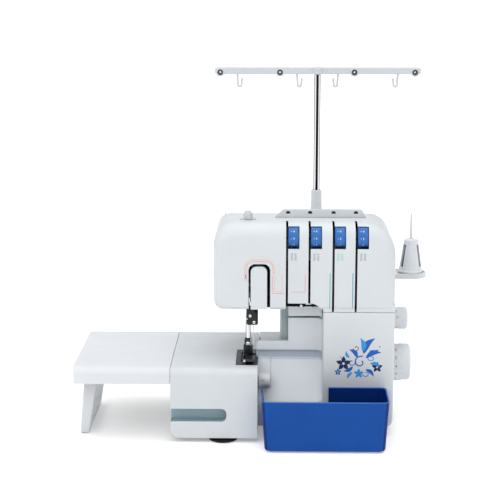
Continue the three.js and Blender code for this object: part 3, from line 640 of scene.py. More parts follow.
def add_head_marks():
    face = on_front(HEAD.front)
    marks = []
    lanes = [((-44.0, -3.6), 248.5, "orange"), ((-41.8, -5.6), 246.0, "pink")]
    for (left, right), top, colour in lanes:
        radius = 11.5 if colour == "orange" else 9.5
        arch = arc_points((left + radius, top - radius), radius, math.pi, -math.pi / 2, 10)
        arch += arc_points((right - radius, top - radius), radius, math.pi / 2, -math.pi / 2, 10)
        marks.append(stroke([(left, 219)] + arch + [(right, 228)], 0.7, face, INKS[colour]))
    marks.append(stroke([(-6.4, 226), (-6.4, 202), (9.4, 202)], 0.7, face, INKS["pink"]))
    marks.append(stroke([(-3.8, 226), (-3.8, 204.6), (6.8, 204.6), (6.8, 229)], 0.7, face, INKS["orange"]))
    marks.append(stroke([(19, 204), (38, 204), (38, 228)], 0.7, face, INKS["pink"]))
    for x, colour in ((SLOTS[2] - 4.4, "green"), (SLOTS[3] - 4.4, "blue")):
        marks.append(stroke([(x, 184), (x, 228)], 1.2, face, INKS[colour]))
        for z, way in ((229.5, 1), (182.5, -1)):
            marks.append(patch([(x - 1.1, z - way), (x + 1.1, z - way), (x, z + 1.4 * way)], face,
                INKS[colour]))
    marks.append(stroke([(-42.2, 222), (-42.2, 228)], 0.9, face, INKS["black"]))
    place(gather("thread_path_lines", marks), "machine")

    stitches = []
    for x, colour in zip(SLOTS, ("grey", "grey", "green", "grey")):
        middle = x + SLOT_WIDTH / 2 + 7.4
        for row in range(4):
            z = 248.5 + row * 2.6
            for side in (-1, 1):
                wave = [(middle + side * (1.0 + 3.0 * k / 6), z + 1.0 * math.sin(k * math.pi / 3))
                    for k in range(7)]
                stitches.append(stroke(wave, 0.5, face, INKS[colour]))
    place(gather("stitch_diagrams", stitches), "machine")


def add_dials():
    for i in range(1, 5):
        node = span(f"tension_dial_{i}")
        r, bevel = DIAL.radius, 0.7
        profile = [(4.6, node.left), (r - bevel, node.left), (r, node.left + bevel), (r, node.left + 2.4),
                   (r - 0.35, node.left + 2.8), (r - 0.35, node.right - 2.8), (r, node.right - 2.4),
                   (r, node.right - bevel), (r - bevel, node.right), (4.6, node.right), (4.6, node.left)]
        wheel = turned("tension_wheel", "x", (DIAL.y, DIAL.z), profile, [DIAL_BLUE], 180,
                       ribbed(60, 0.45, node.right - 2.5, node.right))
        spot = round_x((DIAL.y, DIAL.z), r - 0.35)
        step = 2 * math.pi * r / 10
        marks = [wheel]
        for value in range(10):
            centre = (node.left + 7.4, (value - 3) * step)
            marks.append(numeral(str(value), 3.0, spot, INKS["pale"], centre))
            dash = [(node.left + 3.4, centre[1]), (node.left + 5.0, centre[1])]
            marks.append(stroke(dash, 0.45, spot, INKS["pale"]))
        place(gather(f"tension_wheel_{i}", marks), f"tension_dial_{i}", [f"tension_dial_{i}"])


def add_knob():
    knob = span("pressure_knob")
    base = knob.bottom
    profile = [(0, base), (4, base), (4, base + 9), (6.4, base + 9), (6.6, base + 9.6), (6.6, base + 16.8),
        (6.2, base + 17.6), (5.0, base + 18.4), (4.6, knob.top), (1.6, knob.top), (1.2, knob.top - 1.5),
        (0, knob.top - 1.5)]
    cap = turned("pressure_cap", "z", (knob.x, knob.y), profile, [MILKY], 120,
        ribbed(20, 0.55, base + 9.2, base + 17))
    place(cap, "pressure_knob", ["pressure_knob"])
    dots = [rod("z", (knob.x + dx, knob.y - 1), 1.1, HEAD.top - 0.2, HEAD.top + 0.5, [BLACK], 20)
        for dx in (-9.4, 9.4)]
    place(gather("pressure_stops", dots), "machine")


def add_guide_plate():
    node = span("thread_guide_plate")
    ring = outline([(node.left, node.bottom), (node.right, node.bottom), (node.right - 6, node.top, 5.5),
                    (node.left + 11.2, node.top, 5.5)], 10)
    plate = prism("y", ring, node.front, node.back, [WHITE], 0.7, "guide_plate")
    for x in SLOTS:
        hole = rounded((x - 1.4, x + 4.4), (node.top - 6.4, node.top - 2.6), (None, None, 2.6, 2.6), 6)
        cut(plate, prism("y", hole, node.front - 1, node.back + 1, [BLACK]))
    place(plate, "machine", ["thread_guide_plate"])
    # The holes are cut with black plastic and a black sheet sits behind the plate: painted shade seen through
    # the holes.
    painted_shade_backing = block((node.left + 10, node.right - 8), (node.back - 0.9, node.back - 0.2),
        (node.bottom + 2, node.top - 2), [BLACK])
    place(painted_shade_backing, "machine")


# ---------------------------------------------------------------- rear housing
def add_rear():
    left, front, back, seam, head_back = REAR.left, REAR.front, REAR.back, REAR.seam, REAR.head_back
    floor = span("rear_housing").bottom
    plan = rounded((left, HEAD.right), (front, back), (9, None, 14, 14), 10)
    upper_plan = rounded((left, HEAD.right), (seam, back), (None, None, 14, 14), 10)

    def back_ring(y, inset=0.0):
        return head_ring(10 * TOP_FILLET, inset + quarter(10 - inset, head_back - inset - y))

    def profile(inset):
        return outline([(40, 0), (back - inset, 0), (back - inset, 262, 36 - inset),
                        (132, HEAD.top - inset, 60), (40, HEAD.top - inset)], 14)

    shell = swept("back_shell", "y", back_ring, stations(seam, head_back, 0, 10, 6), [WHITE])
    unite(shell, prism("z", plan, floor, HEAD.face_bottom - 0.4, [WHITE]),
        prism("z", upper_plan, 170, 262, [WHITE]))
    keep_common(shell, prism("x", profile(0), -100, 180, [WHITE]))
    hollow = swept("hollow", "y", lambda y: back_ring(y, WALL),
        stations(seam - 20, head_back - WALL, 0, 10 - WALL, 6), [HOLLOW_PAINTED_SHADE])
    foot = rounded((left + WALL, HEAD.right - WALL), (40, back - WALL), (None, None, 12, 12), 8)
    unite(hollow, prism("z", foot, 0, 259, [HOLLOW_PAINTED_SHADE]))
    keep_common(hollow, prism("x", profile(WALL), -100, 180, [HOLLOW_PAINTED_SHADE]))
    cut(shell, hollow)
    wall_left, wall_front, radius = left + 0.05, front + 0.05, 8.95
    bend = (left + 9, front + 9)
    wall = [(wall_left, front + 11)] + arc_points(bend, radius, math.pi, math.pi / 2, 10)
    wall += [(40, wall_front), (40, front + WALL)]
    wall += arc_points(bend, radius - WALL, 1.5 * math.pi, -math.pi / 2, 10)
    wall.append((wall_left + WALL, front + 11))
    # The throat wall is set in a darker green-grey: painted shade for the recess under the head.
    place(prism("z", wall, floor, HEAD.face_bottom - 0.4, [THROAT_PAINTED_SHADE], 0, "throat_wall"), "machine")
    side_wall = block((HEAD.right - WALL, HEAD.right), (50.5, front + 1), (floor, HEAD.face_bottom - 0.4),
        [WHITE])

    def bed_ring(inset, corner):
        end, right = front - 5 * inset, 20 + 3 * inset
        return outline([(BED.left + inset, end), (right, end), (right, BED.back - inset, corner),
            (BED.shelf_left + inset, BED.back - inset, corner),
            (BED.shelf_left + inset, BED.shelf_front + inset, 0.5),
            (BED.left + inset, BED.shelf_front + inset, 0.5)], 5)
    bed = prism("z", bed_ring(0, 3), floor, BED.top, [WHITE], 0, "rear_bed")
    cut(bed, prism("z", bed_ring(WALL, 1), 0, BED.top - WALL, [HOLLOW_PAINTED_SHADE]))
    unite(shell, side_wall)
    place(bed, "machine")
    cut(shell, block((-34, -20), (118, 172), (HEAD.face_bottom - 4, 224), [BLACK]))
    switch = span("power_switch")
    inlet = span("power_inlet")
    for hole in (switch, inlet):
        cut(shell, block((HEAD.right - 8, HEAD.right + 2), (hole.front - 0.6, hole.back + 0.6),
            (hole.bottom - 0.6, hole.top + 0.6), [BLACK]))
    place(shell, "machine", ["rear_housing"])


# ---------------------------------------------------------------- front cover
def chute_ring(top):
    """The recessed panel and chute seen from the right: (y, z) of a sheet of even thickness."""
    t, rim = WALL, 1.25
    return outline([
        (62, top, rim), (62, 114, 2.5), (66, 112, 2.5), (66, 104, 16), (30.5, 48, 12), (30.5, 14, 0.8),
        (30.5 + t, 14, 0.8), (30.5 + t, 47, 12), (66 + t, 102.5, 16), (66 + t, top, rim),
    ], 8)


def undercut(piece):
    """Paints shade into the undercut below the ledge: its forward-looking faces get a cooler, darker grey,
    with a lighter grey just below it.
    """
    for low_z, high_z, tone in ((98, 103, LIGHT_SHADE), (103, 112.6, SHADE)):
        piece.data.materials.append(tone)
        for face in piece.data.polygons:
            if low_z < face.center.z < high_z and face.normal.y < 0:
                face.material_index = len(piece.data.materials) - 1
    return piece


def ledge_rim(left, right, top):
    """The rounded rim that turns back along the top of a ledge."""
    return prism("x", outline([(62, top, 2.4), (68.4, top, 1), (68.4, top - WALL), (65, top - WALL),
        (62, top - 5)], 6), left, right, [CHUTE_PAINTED_LIGHT])


def add_cover():
    fold, right, front, bottom, top = COVER.fold, COVER.right, COVER.front, COVER.bottom, COVER.top
    depth = 20

    def face(y):
        draw = quarter(3, y - front)
        return rounded((fold + draw, right - draw), (bottom + draw, top - draw), (3, 12 - draw, 3, 3), 8)

    panel = swept("cover_panel", "y", face, stations(front, front + depth, 3, 0, 5), [WHITE])
    inside = [(fold + WALL, bottom - 4), (right - WALL, bottom - 4), (right - WALL, top - WALL),
        (fold + WALL, top - WALL)]
    cut(panel, prism("y", inside, front + WALL, front + depth + 3, [HOLLOW_PAINTED_SHADE]))
    ledge = undercut(prism("x", chute_ring(LEDGE_HIGH), COVER.step, fold + 1, [CHUTE_PAINTED_LIGHT]))
    low_ledge = undercut(prism("x", chute_ring(LEDGE_LOW), COVER.left, COVER.step + 0.5, [CHUTE_PAINTED_LIGHT]))
    unite(ledge, ledge_rim(COVER.step, fold + 0.5, LEDGE_HIGH))
    upright = outline([
        (COVER.step, 62, 1.8), (COVER.step + 5, 62), (COVER.step + 5, 65),
        (COVER.step + WALL, 65), (COVER.step + WALL, 68.4), (COVER.step, 68.4, 1),
    ], 5)
    unite(ledge, prism("z", upright, LEDGE_LOW - 3, LEDGE_HIGH - 1, [CHUTE_PAINTED_LIGHT]))
    unite(low_ledge, ledge_rim(COVER.left, COVER.step + 1, LEDGE_LOW))
    foot = prism("x", chute_ring(LEDGE_LOW), COVER.foot_left, COVER.left + 0.5, [CHUTE_PAINTED_LIGHT])
    cut(foot, block((COVER.foot_left - 1, COVER.left + 1), (20, 90), (COVER.foot_top, LEDGE_LOW + 5),
        [WHITE]))
    side = prism("x", outline([(front + 3, bottom + 3), (65, bottom + 3), (65, LEDGE_HIGH - 1, 1),
        (front + depth, top - 0.6, 1), (front + 3, top - 0.6)], 4), fold, fold + WALL, [WHITE])
    corner = fillet_wall(fold)
    unite(panel, side, unite(ledge, low_ledge, foot), corner)
    place(panel, "front_cover", ["front_cover"])


def fillet_wall(x):
    """The concave corner where the chute runs into the raised panel's side."""
    radius = 9
    steps = 8
    outer = outline([(62.2, LEDGE_HIGH - 0.9), (62.2, 114, 2.5), (66.2, 112, 2.5), (66.2, 104, 16),
        (31.0, 48, 12), (31.0, 16)], 8)
    rows = []
    for k in range(steps + 1):
        angle = math.pi / 2 * k / steps
        across, rise = radius * (1 - math.sin(angle)), radius * (1 - math.cos(angle))
        rows.append([(x + 0.4 - across, y - rise if y - rise > 31.2 else 31.2, z) for y, z in outer])
    wall = [(x + 0.4, y, z) for y, z in outer]
    count = len(outer)
    verts = [p for row in rows for p in row] + wall
    faces = [(k * count + i, k * count + i + 1, (k + 1) * count + i + 1, (k + 1) * count + i)
             for k in range(steps) for i in range(count - 1)]
    base = (steps + 1) * count
    faces += [(steps * count + i, steps * count + i + 1, base + i + 1, base + i) for i in range(count - 1)]
    faces += [(base + i, base + i + 1, i + 1, i) for i in range(count - 1)]
    for end in (0, count - 1):
        faces.append(tuple([k * count + end for k in range(steps + 1)] + [base + end]))
    return undercut(make("corner", verts, faces, [CHUTE_PAINTED_LIGHT]))


def leaf(centre, length, width, turn, bend=0.25):
    """A pointed leaf, curved to one side."""
    ring = []
    steps = 14
    for side in (1, -1):
        for k in range(steps):
            t = k / steps if side > 0 else 1 - k / steps
            across = side * width / 2 * max(0.02, math.sin(math.pi * t ** 0.8))
            along = length * t
            sway = bend * length * math.sin(math.pi * t) * 0.5
            x, z = along, across + sway
            ring.append((centre[0] + x * math.cos(turn) - z * math.sin(turn),
                         centre[1] + x * math.sin(turn) + z * math.cos(turn)))
    return ring


def spiral(centre, radius, start, turns, shrink=0.25, steps=26):
    """A path that winds inwards from `radius` to `shrink` of it."""
    path = []
    for k in range(steps + 1):
        reach = radius * (1 - (1 - shrink) * k / steps)
        angle = start + turns * 2 * math.pi * k / steps
        path.append((centre[0] + reach * math.cos(angle), centre[1] + reach * math.sin(angle)))
    return path


def blossom(centre, size, petals, colours, face):
    marks = []
    for k in range(petals):
        turn = 2 * math.pi * (k + 0.25) / petals
        start = (centre[0] + 0.12 * size * math.cos(turn), centre[1] + 0.12 * size * math.sin(turn))
        marks.append(patch(leaf(start, size, size * 0.62, turn, 0), face, INKS[colours[0]]))
    marks.append(patch(circle(*centre, size * 0.16, 16), face, INKS[colours[1]]))
    return marks


def add_flowers():
    """A generic printed sprig: curling stems, leaves and small five-petal flowers."""
    face = on_front(COVER.front)
    marks = []
    heads = [((91, 104), 9.5, ("flower_dark", "pale")), ((137, 99), 7, ("flower_dark", "pale")),
             ((83.5, 92), 4.5, ("flower", "pale")), ((112, 90), 6.5, ("flower_light", "flower_dark"))]
    for centre, size, colours in heads:
        marks += blossom(centre, size, 5, colours, face)
    leaves = [((118, 118), 27, 9, 0.95, 0.3, "flower"), ((117, 121), 20, 7, 1.75, -0.3, "flower_light"),
              ((121, 112), 23, 7, 0.35, 0.3, "flower"), ((110, 112), 17, 6, 2.35, -0.35, "flower"),
              ((127, 104), 15, 5, -0.3, 0.3, "flower_light"), ((104, 100), 15, 5, 3.6, 0.3, "flower"),
              ((121, 96), 16, 5, -0.75, 0.3, "flower"), ((99, 112), 11, 4, 2.0, 0.3, "flower_light"),
              ((126, 122), 13, 4.5, 0.15, -0.3, "flower"), ((103, 92), 12, 4, 4.1, -0.2, "flower_light")]
    for k, (start, length, width, turn, bend, colour) in enumerate(leaves):
        marks.append(patch(leaf(start, length, width, turn, bend), face, INKS[colour], INK + 0.004 * (k + 1)))
    stems = [((114, 106), 9, 1.2, 0.95, 1.7, "flower"), ((129, 112), 5.5, 2.4, 0.9, 1.2, "flower_light"),
             ((102, 106), 5.5, 0.2, -0.9, 1.2, "flower"), ((122, 90), 5, 3.4, 0.85, 1.1, "flower"),
             ((108, 126), 4, 4.4, 0.8, 0.9, "flower_dark")]
    for centre, radius, start, turns, width, colour in stems:
        marks.append(stroke(spiral(centre, radius, start, turns), width, face, INKS[colour]))
    berries = [(104, 124, 1.1), (94, 117, 0.9), (140, 128, 0.9), (87, 113, 0.8), (131, 90, 1.0),
               (97, 88, 0.9)]
    for x, z, size in berries:
        marks.append(patch(circle(x, z, size, 14), face, INKS["flower_dark"]))
    place(gather("printed_sprig", marks), "front_cover")


# ---------------------------------------------------------------- needle side
def add_arm():
    left, right, front, back, bottom, top = -60, -26, 20, 188, 52, 101.5
    outer = prism("y", rounded((left, right), (bottom, top), (3, 1, 0.6, 2), 4), front, back, [WHITE], 0,
        "arm_shell")
    cut(outer, block((left + WALL, right + 5), (front + WALL, back - WALL), (bottom - 5, top - WALL),
        [HOLLOW_PAINTED_SHADE]), block((-52, right + 5), (30, 89), (top - 5, top + 5), [HOLLOW_PAINTED_SHADE]))
    side = cut(block((right - WALL, right), (front, 68.6), (bottom, top), [WHITE]),
               block((right - 5, right + 1), (56, 68), (56, 84), [HOLLOW_PAINTED_SHADE]))
    nose = undercut(prism("x", chute_ring(LEDGE_LOW), right - 0.6, COVER.left - 0.35, [CHUTE_PAINTED_LIGHT]))
    unite(nose, ledge_rim(right, COVER.left - 0.35, LEDGE_LOW))
    cut(nose, block((COVER.foot_left - 0.5, COVER.left + 1), (20, 90), (0, COVER.foot_top + 0.6), [WHITE]))
    root = prism("x", outline([(62, LEDGE_LOW - 0.8), (62, 114), (66, 112), (66, 99), (60, 90), (60, 84),
        (68.6, 84), (68.6, LEDGE_LOW - 0.8)], 3), right - WALL, right + 0.5, [WHITE])
    unite(outer, side, nose, root)
    place(outer, "machine", ["free_arm"])


def add_needle_plate():
    node = span("needle_plate")
    ring = rounded((node.left, node.right), (node.front, node.back), (3, 0.5, 0.5, 3), 5)
    plate = prism("z", ring, node.bottom, node.top, [SHEET], 0.5, "stitch_plate")
    cut(plate, block((-49, -41), (33, 85), (100, 110), [HOLLOW_PAINTED_SHADE]),
        block((-39.5, -28.5), (54, 60), (100, 110), [HOLLOW_PAINTED_SHADE]),
        block((-28.2, -20), (70, 89), (100, 110), [HOLLOW_PAINTED_SHADE]),
        block((-29.4, -20), (61, 69.4), (100, 110), [HOLLOW_PAINTED_SHADE]),
        *[rod("z", (x, 26), 1.9, node.top - 0.6, node.top + 1, [STEEL], 24) for x in (-51, -31)])
    place(plate, "machine", ["needle_plate"])


def screw(axis, centre, radius, start, end, material):
    """A slotted screw head that looks towards `start`."""
    head = rod(axis, centre, radius, start, end, [material], 32, radius * 0.18)
    u, v = centre
    way = (end - start) * 0.35
    slot = [(u - radius, v - radius * 0.16), (u + radius, v - radius * 0.16),
        (u + radius, v + radius * 0.16), (u - radius, v + radius * 0.16)]
    return cut(head, prism(axis, slot, start - 1, start + way, [BLACK]))


def add_needle_parts():
    bar, clamp, foot = span("needle_bar"), span("needle_clamp"), span("presser_foot")
    place(rod("z", (bar.x, bar.y), 3.6, bar.bottom, bar.top, [CHROME], 48, 0.8), "needle_bar",
        ["needle_bar"])
    presser = span("presser_bar")
    place(rod("z", (presser.x, presser.y), 4, presser.bottom, presser.top, [CHROME], 48, 0.8), "presser",
        ["presser_bar"])

    ring = rounded((clamp.left, clamp.right), (clamp.front, clamp.back), 3, 6)
    block_piece = prism("z", ring, clamp.bottom, clamp.top, [BLACK], 1.4, "clamp_block")
    notch = block((clamp.right - 4.5, clamp.right + 1), (clamp.front - 1, clamp.front + 5),
        (clamp.top - 7, clamp.top - 2), [BLACK])
    waist = block((clamp.left - 1, clamp.left + 3), (clamp.front - 1, clamp.back + 1),
        (clamp.bottom + 5, clamp.bottom + 9), [BLACK])
    cut(block_piece, notch, waist)
    screws = [screw("y", (clamp.x + dx, z), 2.2, clamp.front - 0.9, clamp.front + 2.5, CHROME)
              for dx, z in ((2.6, clamp.bottom + 4.2), (-2.8, clamp.bottom + 13.2))]
    guide = tube("guide", [(clamp.left + 1, clamp.front + 0.8, clamp.bottom + 1.5),
        (clamp.x - 2, clamp.front + 0.7, clamp.bottom + 1.2),
        (clamp.x + 4, clamp.front + 0.8, clamp.bottom + 1.6)], 0.55, [CHROME], 12)
    place(gather("needle_holder", [block_piece, guide] + screws), "needle_bar",
        ["needle_clamp"])
    for name in ("left_needle", "right_needle"):
        node = span(name)
        profile = [(0, node.bottom), (0.42, node.bottom + 2.6), (0.45, node.bottom + 21),
            (0.9, node.bottom + 24.5), (0.9, node.top), (0, node.top)]
        place(turned(name + "_steel", "z", (node.x, node.y), profile, [CHROME], 24), "needle_bar",
            [name])

    sole = prism("x", outline([(foot.front, 106.6, 1.4), (29, foot.bottom), (84, foot.bottom, 0.6),
        (84, 109, 1.2), (31, 109, 3), (25.2, 110.4, 0.6)], 6), -47, -29.6, [DARK_STEEL], 0.6, "sole")
    cut(sole, block((-40, -28), (53, 61), (100, 115), [DARK_STEEL]),
        block((-46, -43), (20, 48), (100, 115), [DARK_STEEL]))
    shank = prism("z", rounded((-45, -35), (66, 78), 2, 5), 108, foot.top, [DARK_STEEL], 0.8)
    hinge = rod("x", (72, 112.5), 2.6, -46, -34, [CHROME], 32, 0.5)
    yoke = prism("x", outline([(67, 108), (77, 108), (76, 119, 3), (68, 119, 3)], 5), -46.4, -33.6,
        [DARK_STEEL], 0.6)
    knob = [screw("y", (-40, 122), 3.0, 63.4, 66.4, CHROME)]
    place(gather("presser_shoe", [unite(sole, shank), hinge, yoke] + knob), "presser",
        ["presser_foot"])


def add_feed():
    # The tension shaft is set in black plastic so it sinks into the dark of the slots: painted shade.
    inner = {"feed_dog": STEEL, "lower_knife": STEEL, "upper_knife": CHROME, "upper_looper": CHROME,
             "lower_looper": CHROME, "take_up_lever": DARK_STEEL, "lifter_lever": BLACK,
             "machine_frame": CAST, "base_plate": SHEET, "tension_shaft": BLACK, "motor": CAST,
             "drive_belt": RUBBER, "driven_pulley": BLACK, "motor_pulley": STEEL, "main_shaft": STEEL,
             "cover_hinge_bar": STEEL}
    for node, material in inner.items():
        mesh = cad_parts[node].data
        mesh.materials.clear()
        mesh.materials.append(material)


# ---------------------------------------------------------------- cloth plate box, table and leg
def add_box():
    box = BOX

    def face(inset, floor):
        right = box.right + (5 if inset else 0)
        return rounded((box.left + inset, right), (floor, box.top - inset), (12 - inset, None, None, 0.8), 12)

    def side(inset):
        return rounded((box.front + inset, box.back - inset), (-10, box.top - inset),
            (None, None, 13 - inset, 13 - inset), 14)

    skin = prism("y", face(0, box.bottom), box.front - 1, box.back + 1, [WHITE_BOX_PAINTED_SHADE], 0, "bed_box")
    keep_common(skin, prism("x", side(0), box.left - 1, box.right + 1, [WHITE_BOX_PAINTED_SHADE]))
    hollow = prism("y", face(WALL, box.bottom - 12), box.front, box.back, [HOLLOW_PAINTED_SHADE])
    keep_common(hollow, prism("x", side(WALL), box.left, box.right + 5, [HOLLOW_PAINTED_SHADE]))

    def pocket(grow, start, end, material):
        low_edge, high_edge, right = 30, 48, -68
        ring = rounded((box.left - 1 - grow, right + grow), (low_edge - grow, high_edge + grow),
            (None, 7, 7, None), 10)
        return prism("y", ring, start, end, [material])

    cut(hollow, pocket(2.2, box.front - 1, box.front + 16.2, HOLLOW_PAINTED_SHADE))
    # The pocket's faces take a dark grey-green: painted shade inside the finger recess.
    cut(skin, hollow, pocket(0, box.front - 1, box.front + 14, RECESS_PAINTED_SHADE))
    plate = span("needle_plate")
    cut(skin, block((plate.left - 0.5, box.right + 1), (plate.front - 0.5, plate.back + 0.5),
        (95, box.top + 1), [WHITE_BOX_PAINTED_SHADE]))
    place(skin, "cloth_plate_box", ["cloth_plate_box"])


def add_table():
    table = TABLE

    def side(inset):
        floor = table.bottom - inset * 3
        return rounded((table.front + inset, table.back - inset), (floor, table.top - inset),
            (None, None, 12 - inset, 12 - inset), 14)

    skin = prism("x", side(0), table.left, table.right, [WHITE_TABLE_PAINTED_LIGHT], 0, "table_shell")
    plan = rounded((table.left, table.right), (table.front, table.back), (6, None, None, 6), 8)
    keep_common(skin, prism("z", plan, 60, 120, [WHITE_TABLE_PAINTED_LIGHT]))
    cut(skin, prism("x", side(WALL), table.left + WALL, table.right - WALL, [HOLLOW_PAINTED_SHADE]))
    place(skin, "extension_table", ["extension_table"])

    leg = span("table_leg")
    pivot = SimpleNamespace(x=-252, z=88)
    ring = outline([(pivot.x - 12, pivot.z + 4, 3), (pivot.x - 20, 0, 1.5), (pivot.x - 8, 0, 1.5),
        (pivot.x + 8, pivot.z + 4, 3)], 5)
    blade = prism("y", ring, leg.front, leg.back, [WHITE_TABLE_PAINTED_LIGHT], 2, "folding_leg")
    gap = rounded((leg.front + 14, leg.back - 14), (16, 76), (6, 6, 8, 8), 8)
    cut(blade, prism("x", gap, pivot.x - 40, pivot.x + 40, [WHITE_TABLE_PAINTED_LIGHT]))
    place(blade, "table_leg", ["table_leg"])


# ---------------------------------------------------------------- trim bin
def add_bin():
    b = BIN
    middle, half = (b.left + b.right) / 2, (b.right - b.left) / 2
    lean, wall = 0.055, 2.2

    def ring(z, inset, corner):
        down = (b.top - z) / (b.top - b.bottom)
        squeeze = 1 - lean * down
        points = rounded((b.left + inset, b.right - inset), (b.front + inset, b.back - inset),
            (corner, corner, 6, 6), 12)
        return [(middle + (x - middle) * squeeze, y, z) for x, y in points]

    rings = [ring(z, quarter(3, z - b.bottom), 9) for z in stations(b.bottom, b.top - 1.1, 3, 0, 5)]
    for k in range(1, 8):
        angle = math.pi * k / 8
        inset = 1.1 * (1 - math.cos(angle))
        rings.append(ring(b.top - 1.1 + 1.1 * math.sin(angle), inset, 9 - inset))
    inside = [b.top - 1.1, *reversed(stations(b.bottom + wall, b.bottom + wall + 3.2, 3, 0, 5))]
    rings += [ring(z, wall + quarter(3, z - b.bottom - wall), 9 - wall) for z in inside]
    tray = loft("trim_tray", rings, [BLUE])
    back_way = rounded((b.left - 5, 71), (40, b.top + 5), (None, 6, None, None), 8)
    cut(tray, prism("y", back_way, 20, b.back + 2, [BLUE]))
    # The rim gets a lighter blue (painted highlight) and the inner faces a darker blue (painted shade).
    for tone in (BLUE_RIM_PAINTED_HIGHLIGHT, BLUE_INSIDE_PAINTED_SHADE):
        tray.data.materials.append(tone)
    for face in tray.data.polygons:
        x, y, z = face.center
        squeeze = 1 - lean * (b.top - z) / (b.top - b.bottom)
        across = abs(x - middle) / squeeze
        if z > b.top - 1.2:
            face.material_index = 1
        elif across < half - 1.4 and b.front + 1.4 < y < b.back - 1.4 and z > b.bottom + 1.4:
            face.material_index = 2
    place(tray, "trim_bin", ["trim_bin"])


# ---------------------------------------------------------------- dials on the right and controls
def add_side_controls():
    dials = [("differential_dial", ["0.7", "1", "1.5", "2"], 3.4),
             ("stitch_length_dial", ["2", "3", "4", "5", "R"], 4.6)]
    for name, numbers, size in dials:
        node = span(name)
        y, z = node.y, node.z
        radius = (node.top - node.bottom) / 2
        start = HEAD.right + 0.4
        profile = [(0, node.left), (4, node.left), (4, start), (radius - 1.4, start),
            (radius - 0.4, start + 0.6), (radius - 0.4, start + 8.4), (radius, start + 9),
            (radius, node.right - 3.6), (radius - 0.9, node.right - 1.6), (radius - 2.6, node.right - 0.4),
            (radius - 3.6, node.right), (radius * 0.45, node.right), (radius * 0.4, node.right - 0.8),
            (0, node.right - 0.8)]
        knob = turned(name + "_knob", "x", (y, z), profile, [WHITE_SMALL], 240,
            ribbed(48 if radius > 20 else 36, 0.7, start + 8.9, node.right - 3.5))
        spot = round_x((y, z), radius - 0.4)
        marks = [knob]
        for k, text in enumerate(numbers):
            at_rim = (k - len(numbers) / 2 + 0.5) * size * 2.6
            marks.append(numeral(text, size, spot, INKS["grey"], (start + 4.6, at_rim)))
        for k in range(-8, 9):
            marks.append(stroke([(start + 0.9, k * size * 0.65), (start + 1.8, k * size * 0.65)], 0.35,
                spot, INKS["grey"]))
        place(gather(name + "_knob", marks), name, [name])

    node = span("stitch_width_dial")
    radius = (node.top - node.bottom) / 2
    profile = [(0, node.left), (radius - 0.8, node.left), (radius, node.left + 1),
        (radius, node.right - 1.6), (radius - 0.5, node.right - 0.6), (radius - 1.6, node.right),
        (0, node.right)]
    knob = turned("width_knob", "x", (node.y, node.z), profile, [WHITE_SMALL], 160,
        ribbed(32, 0.5, node.left + 0.9, node.right - 5))
    spot = round_x((node.y, node.z), radius)
    ring = [(node.left + 5.2 + 1.5 * math.cos(a), 2 + 1.1 * math.sin(a))
        for a in (k * math.pi / 8 for k in range(17))]
    marks = [knob, stroke(ring, 0.5, spot, INKS["grey"])]
    for u in (node.left + 1.9, node.left + 6.9):
        marks.append(stroke([(u, 2), (u + 1.6, 2)], 0.5, spot, INKS["grey"]))
    place(gather("width_knob_marked", marks), "stitch_width_dial", ["stitch_width_dial"])

    wheel = span("handwheel")
    y, z = wheel.y, wheel.z
    bore, left, right = 6.3, wheel.left, wheel.right
    profile = [(bore, left), (20.5, left), (23, left + 0.8), (25, left + 3.4), (25, left + 16),
        (24.4, left + 18.4), (22.6, right - 0.4), (21, right), (18.4, right), (17.4, right - 0.8),
        (16.6, left + 15.4), (bore + 1, left + 15), (bore, left + 14.4), (bore, left)]
    place(turned("turning_wheel", "x", (y, z), profile, [WHITE_SMALL], 200,
        ribbed(50, 0.6, left + 3.2, left + 16.2)), "handwheel", ["handwheel"])

    switch = span("power_switch")
    rocker = prism("z", outline([(switch.left, switch.front), (switch.right, switch.front, 1),
        (switch.right - 1.4, switch.y, 14), (switch.right, switch.back, 1), (switch.left, switch.back)],
        8), switch.bottom, switch.top, [BLACK], 0.6, "rocker")
    place(rocker, "power_switch", ["power_switch"])
    inlet = span("power_inlet")
    shape = rounded((inlet.front, inlet.back), (inlet.bottom, inlet.top), 2, 5)
    well = rounded((inlet.front + 2.6, inlet.back - 2.6), (inlet.bottom + 2.6, inlet.top - 2.6),
        (4, 4, 2, 2), 6)
    socket = cut(prism("x", shape, inlet.left, inlet.right, [BLACK], 0, "inlet"),
        prism("x", well, inlet.left + 4, inlet.right + 2, [BLACK]))
    pins = [prism("x", rounded((inlet.y + dy - 1.1, inlet.y + dy + 1.1), (inlet.z - 2.4, inlet.z + 2.4),
        0.4, 3), inlet.left + 3.6, inlet.right - 2.4, [CHROME], 0.4) for dy in (-4.2, 4.2)]
    place(gather("inlet_socket", [socket] + pins), "machine", ["power_inlet"])


# ---------------------------------------------------------------- feet
def add_feet():
    for name in ("front_left", "back_left", "front_right", "back_right"):
        node = span("rubber_foot_" + name)
        profile = [(0, 0), (15.6, 0), (16.4, 0.5), (17.6, 0.5), (19.2, 1.0), (20, 2.0), (20, 3),
            (19.4, 3.4), (12.9, 4.2), (12.4, 4.8), (12.4, node.top), (0, node.top)]
        place(turned("foot_" + name, "z", (node.x, node.y), profile, [RUBBER], 72), "machine",
            ["rubber_foot_" + name])


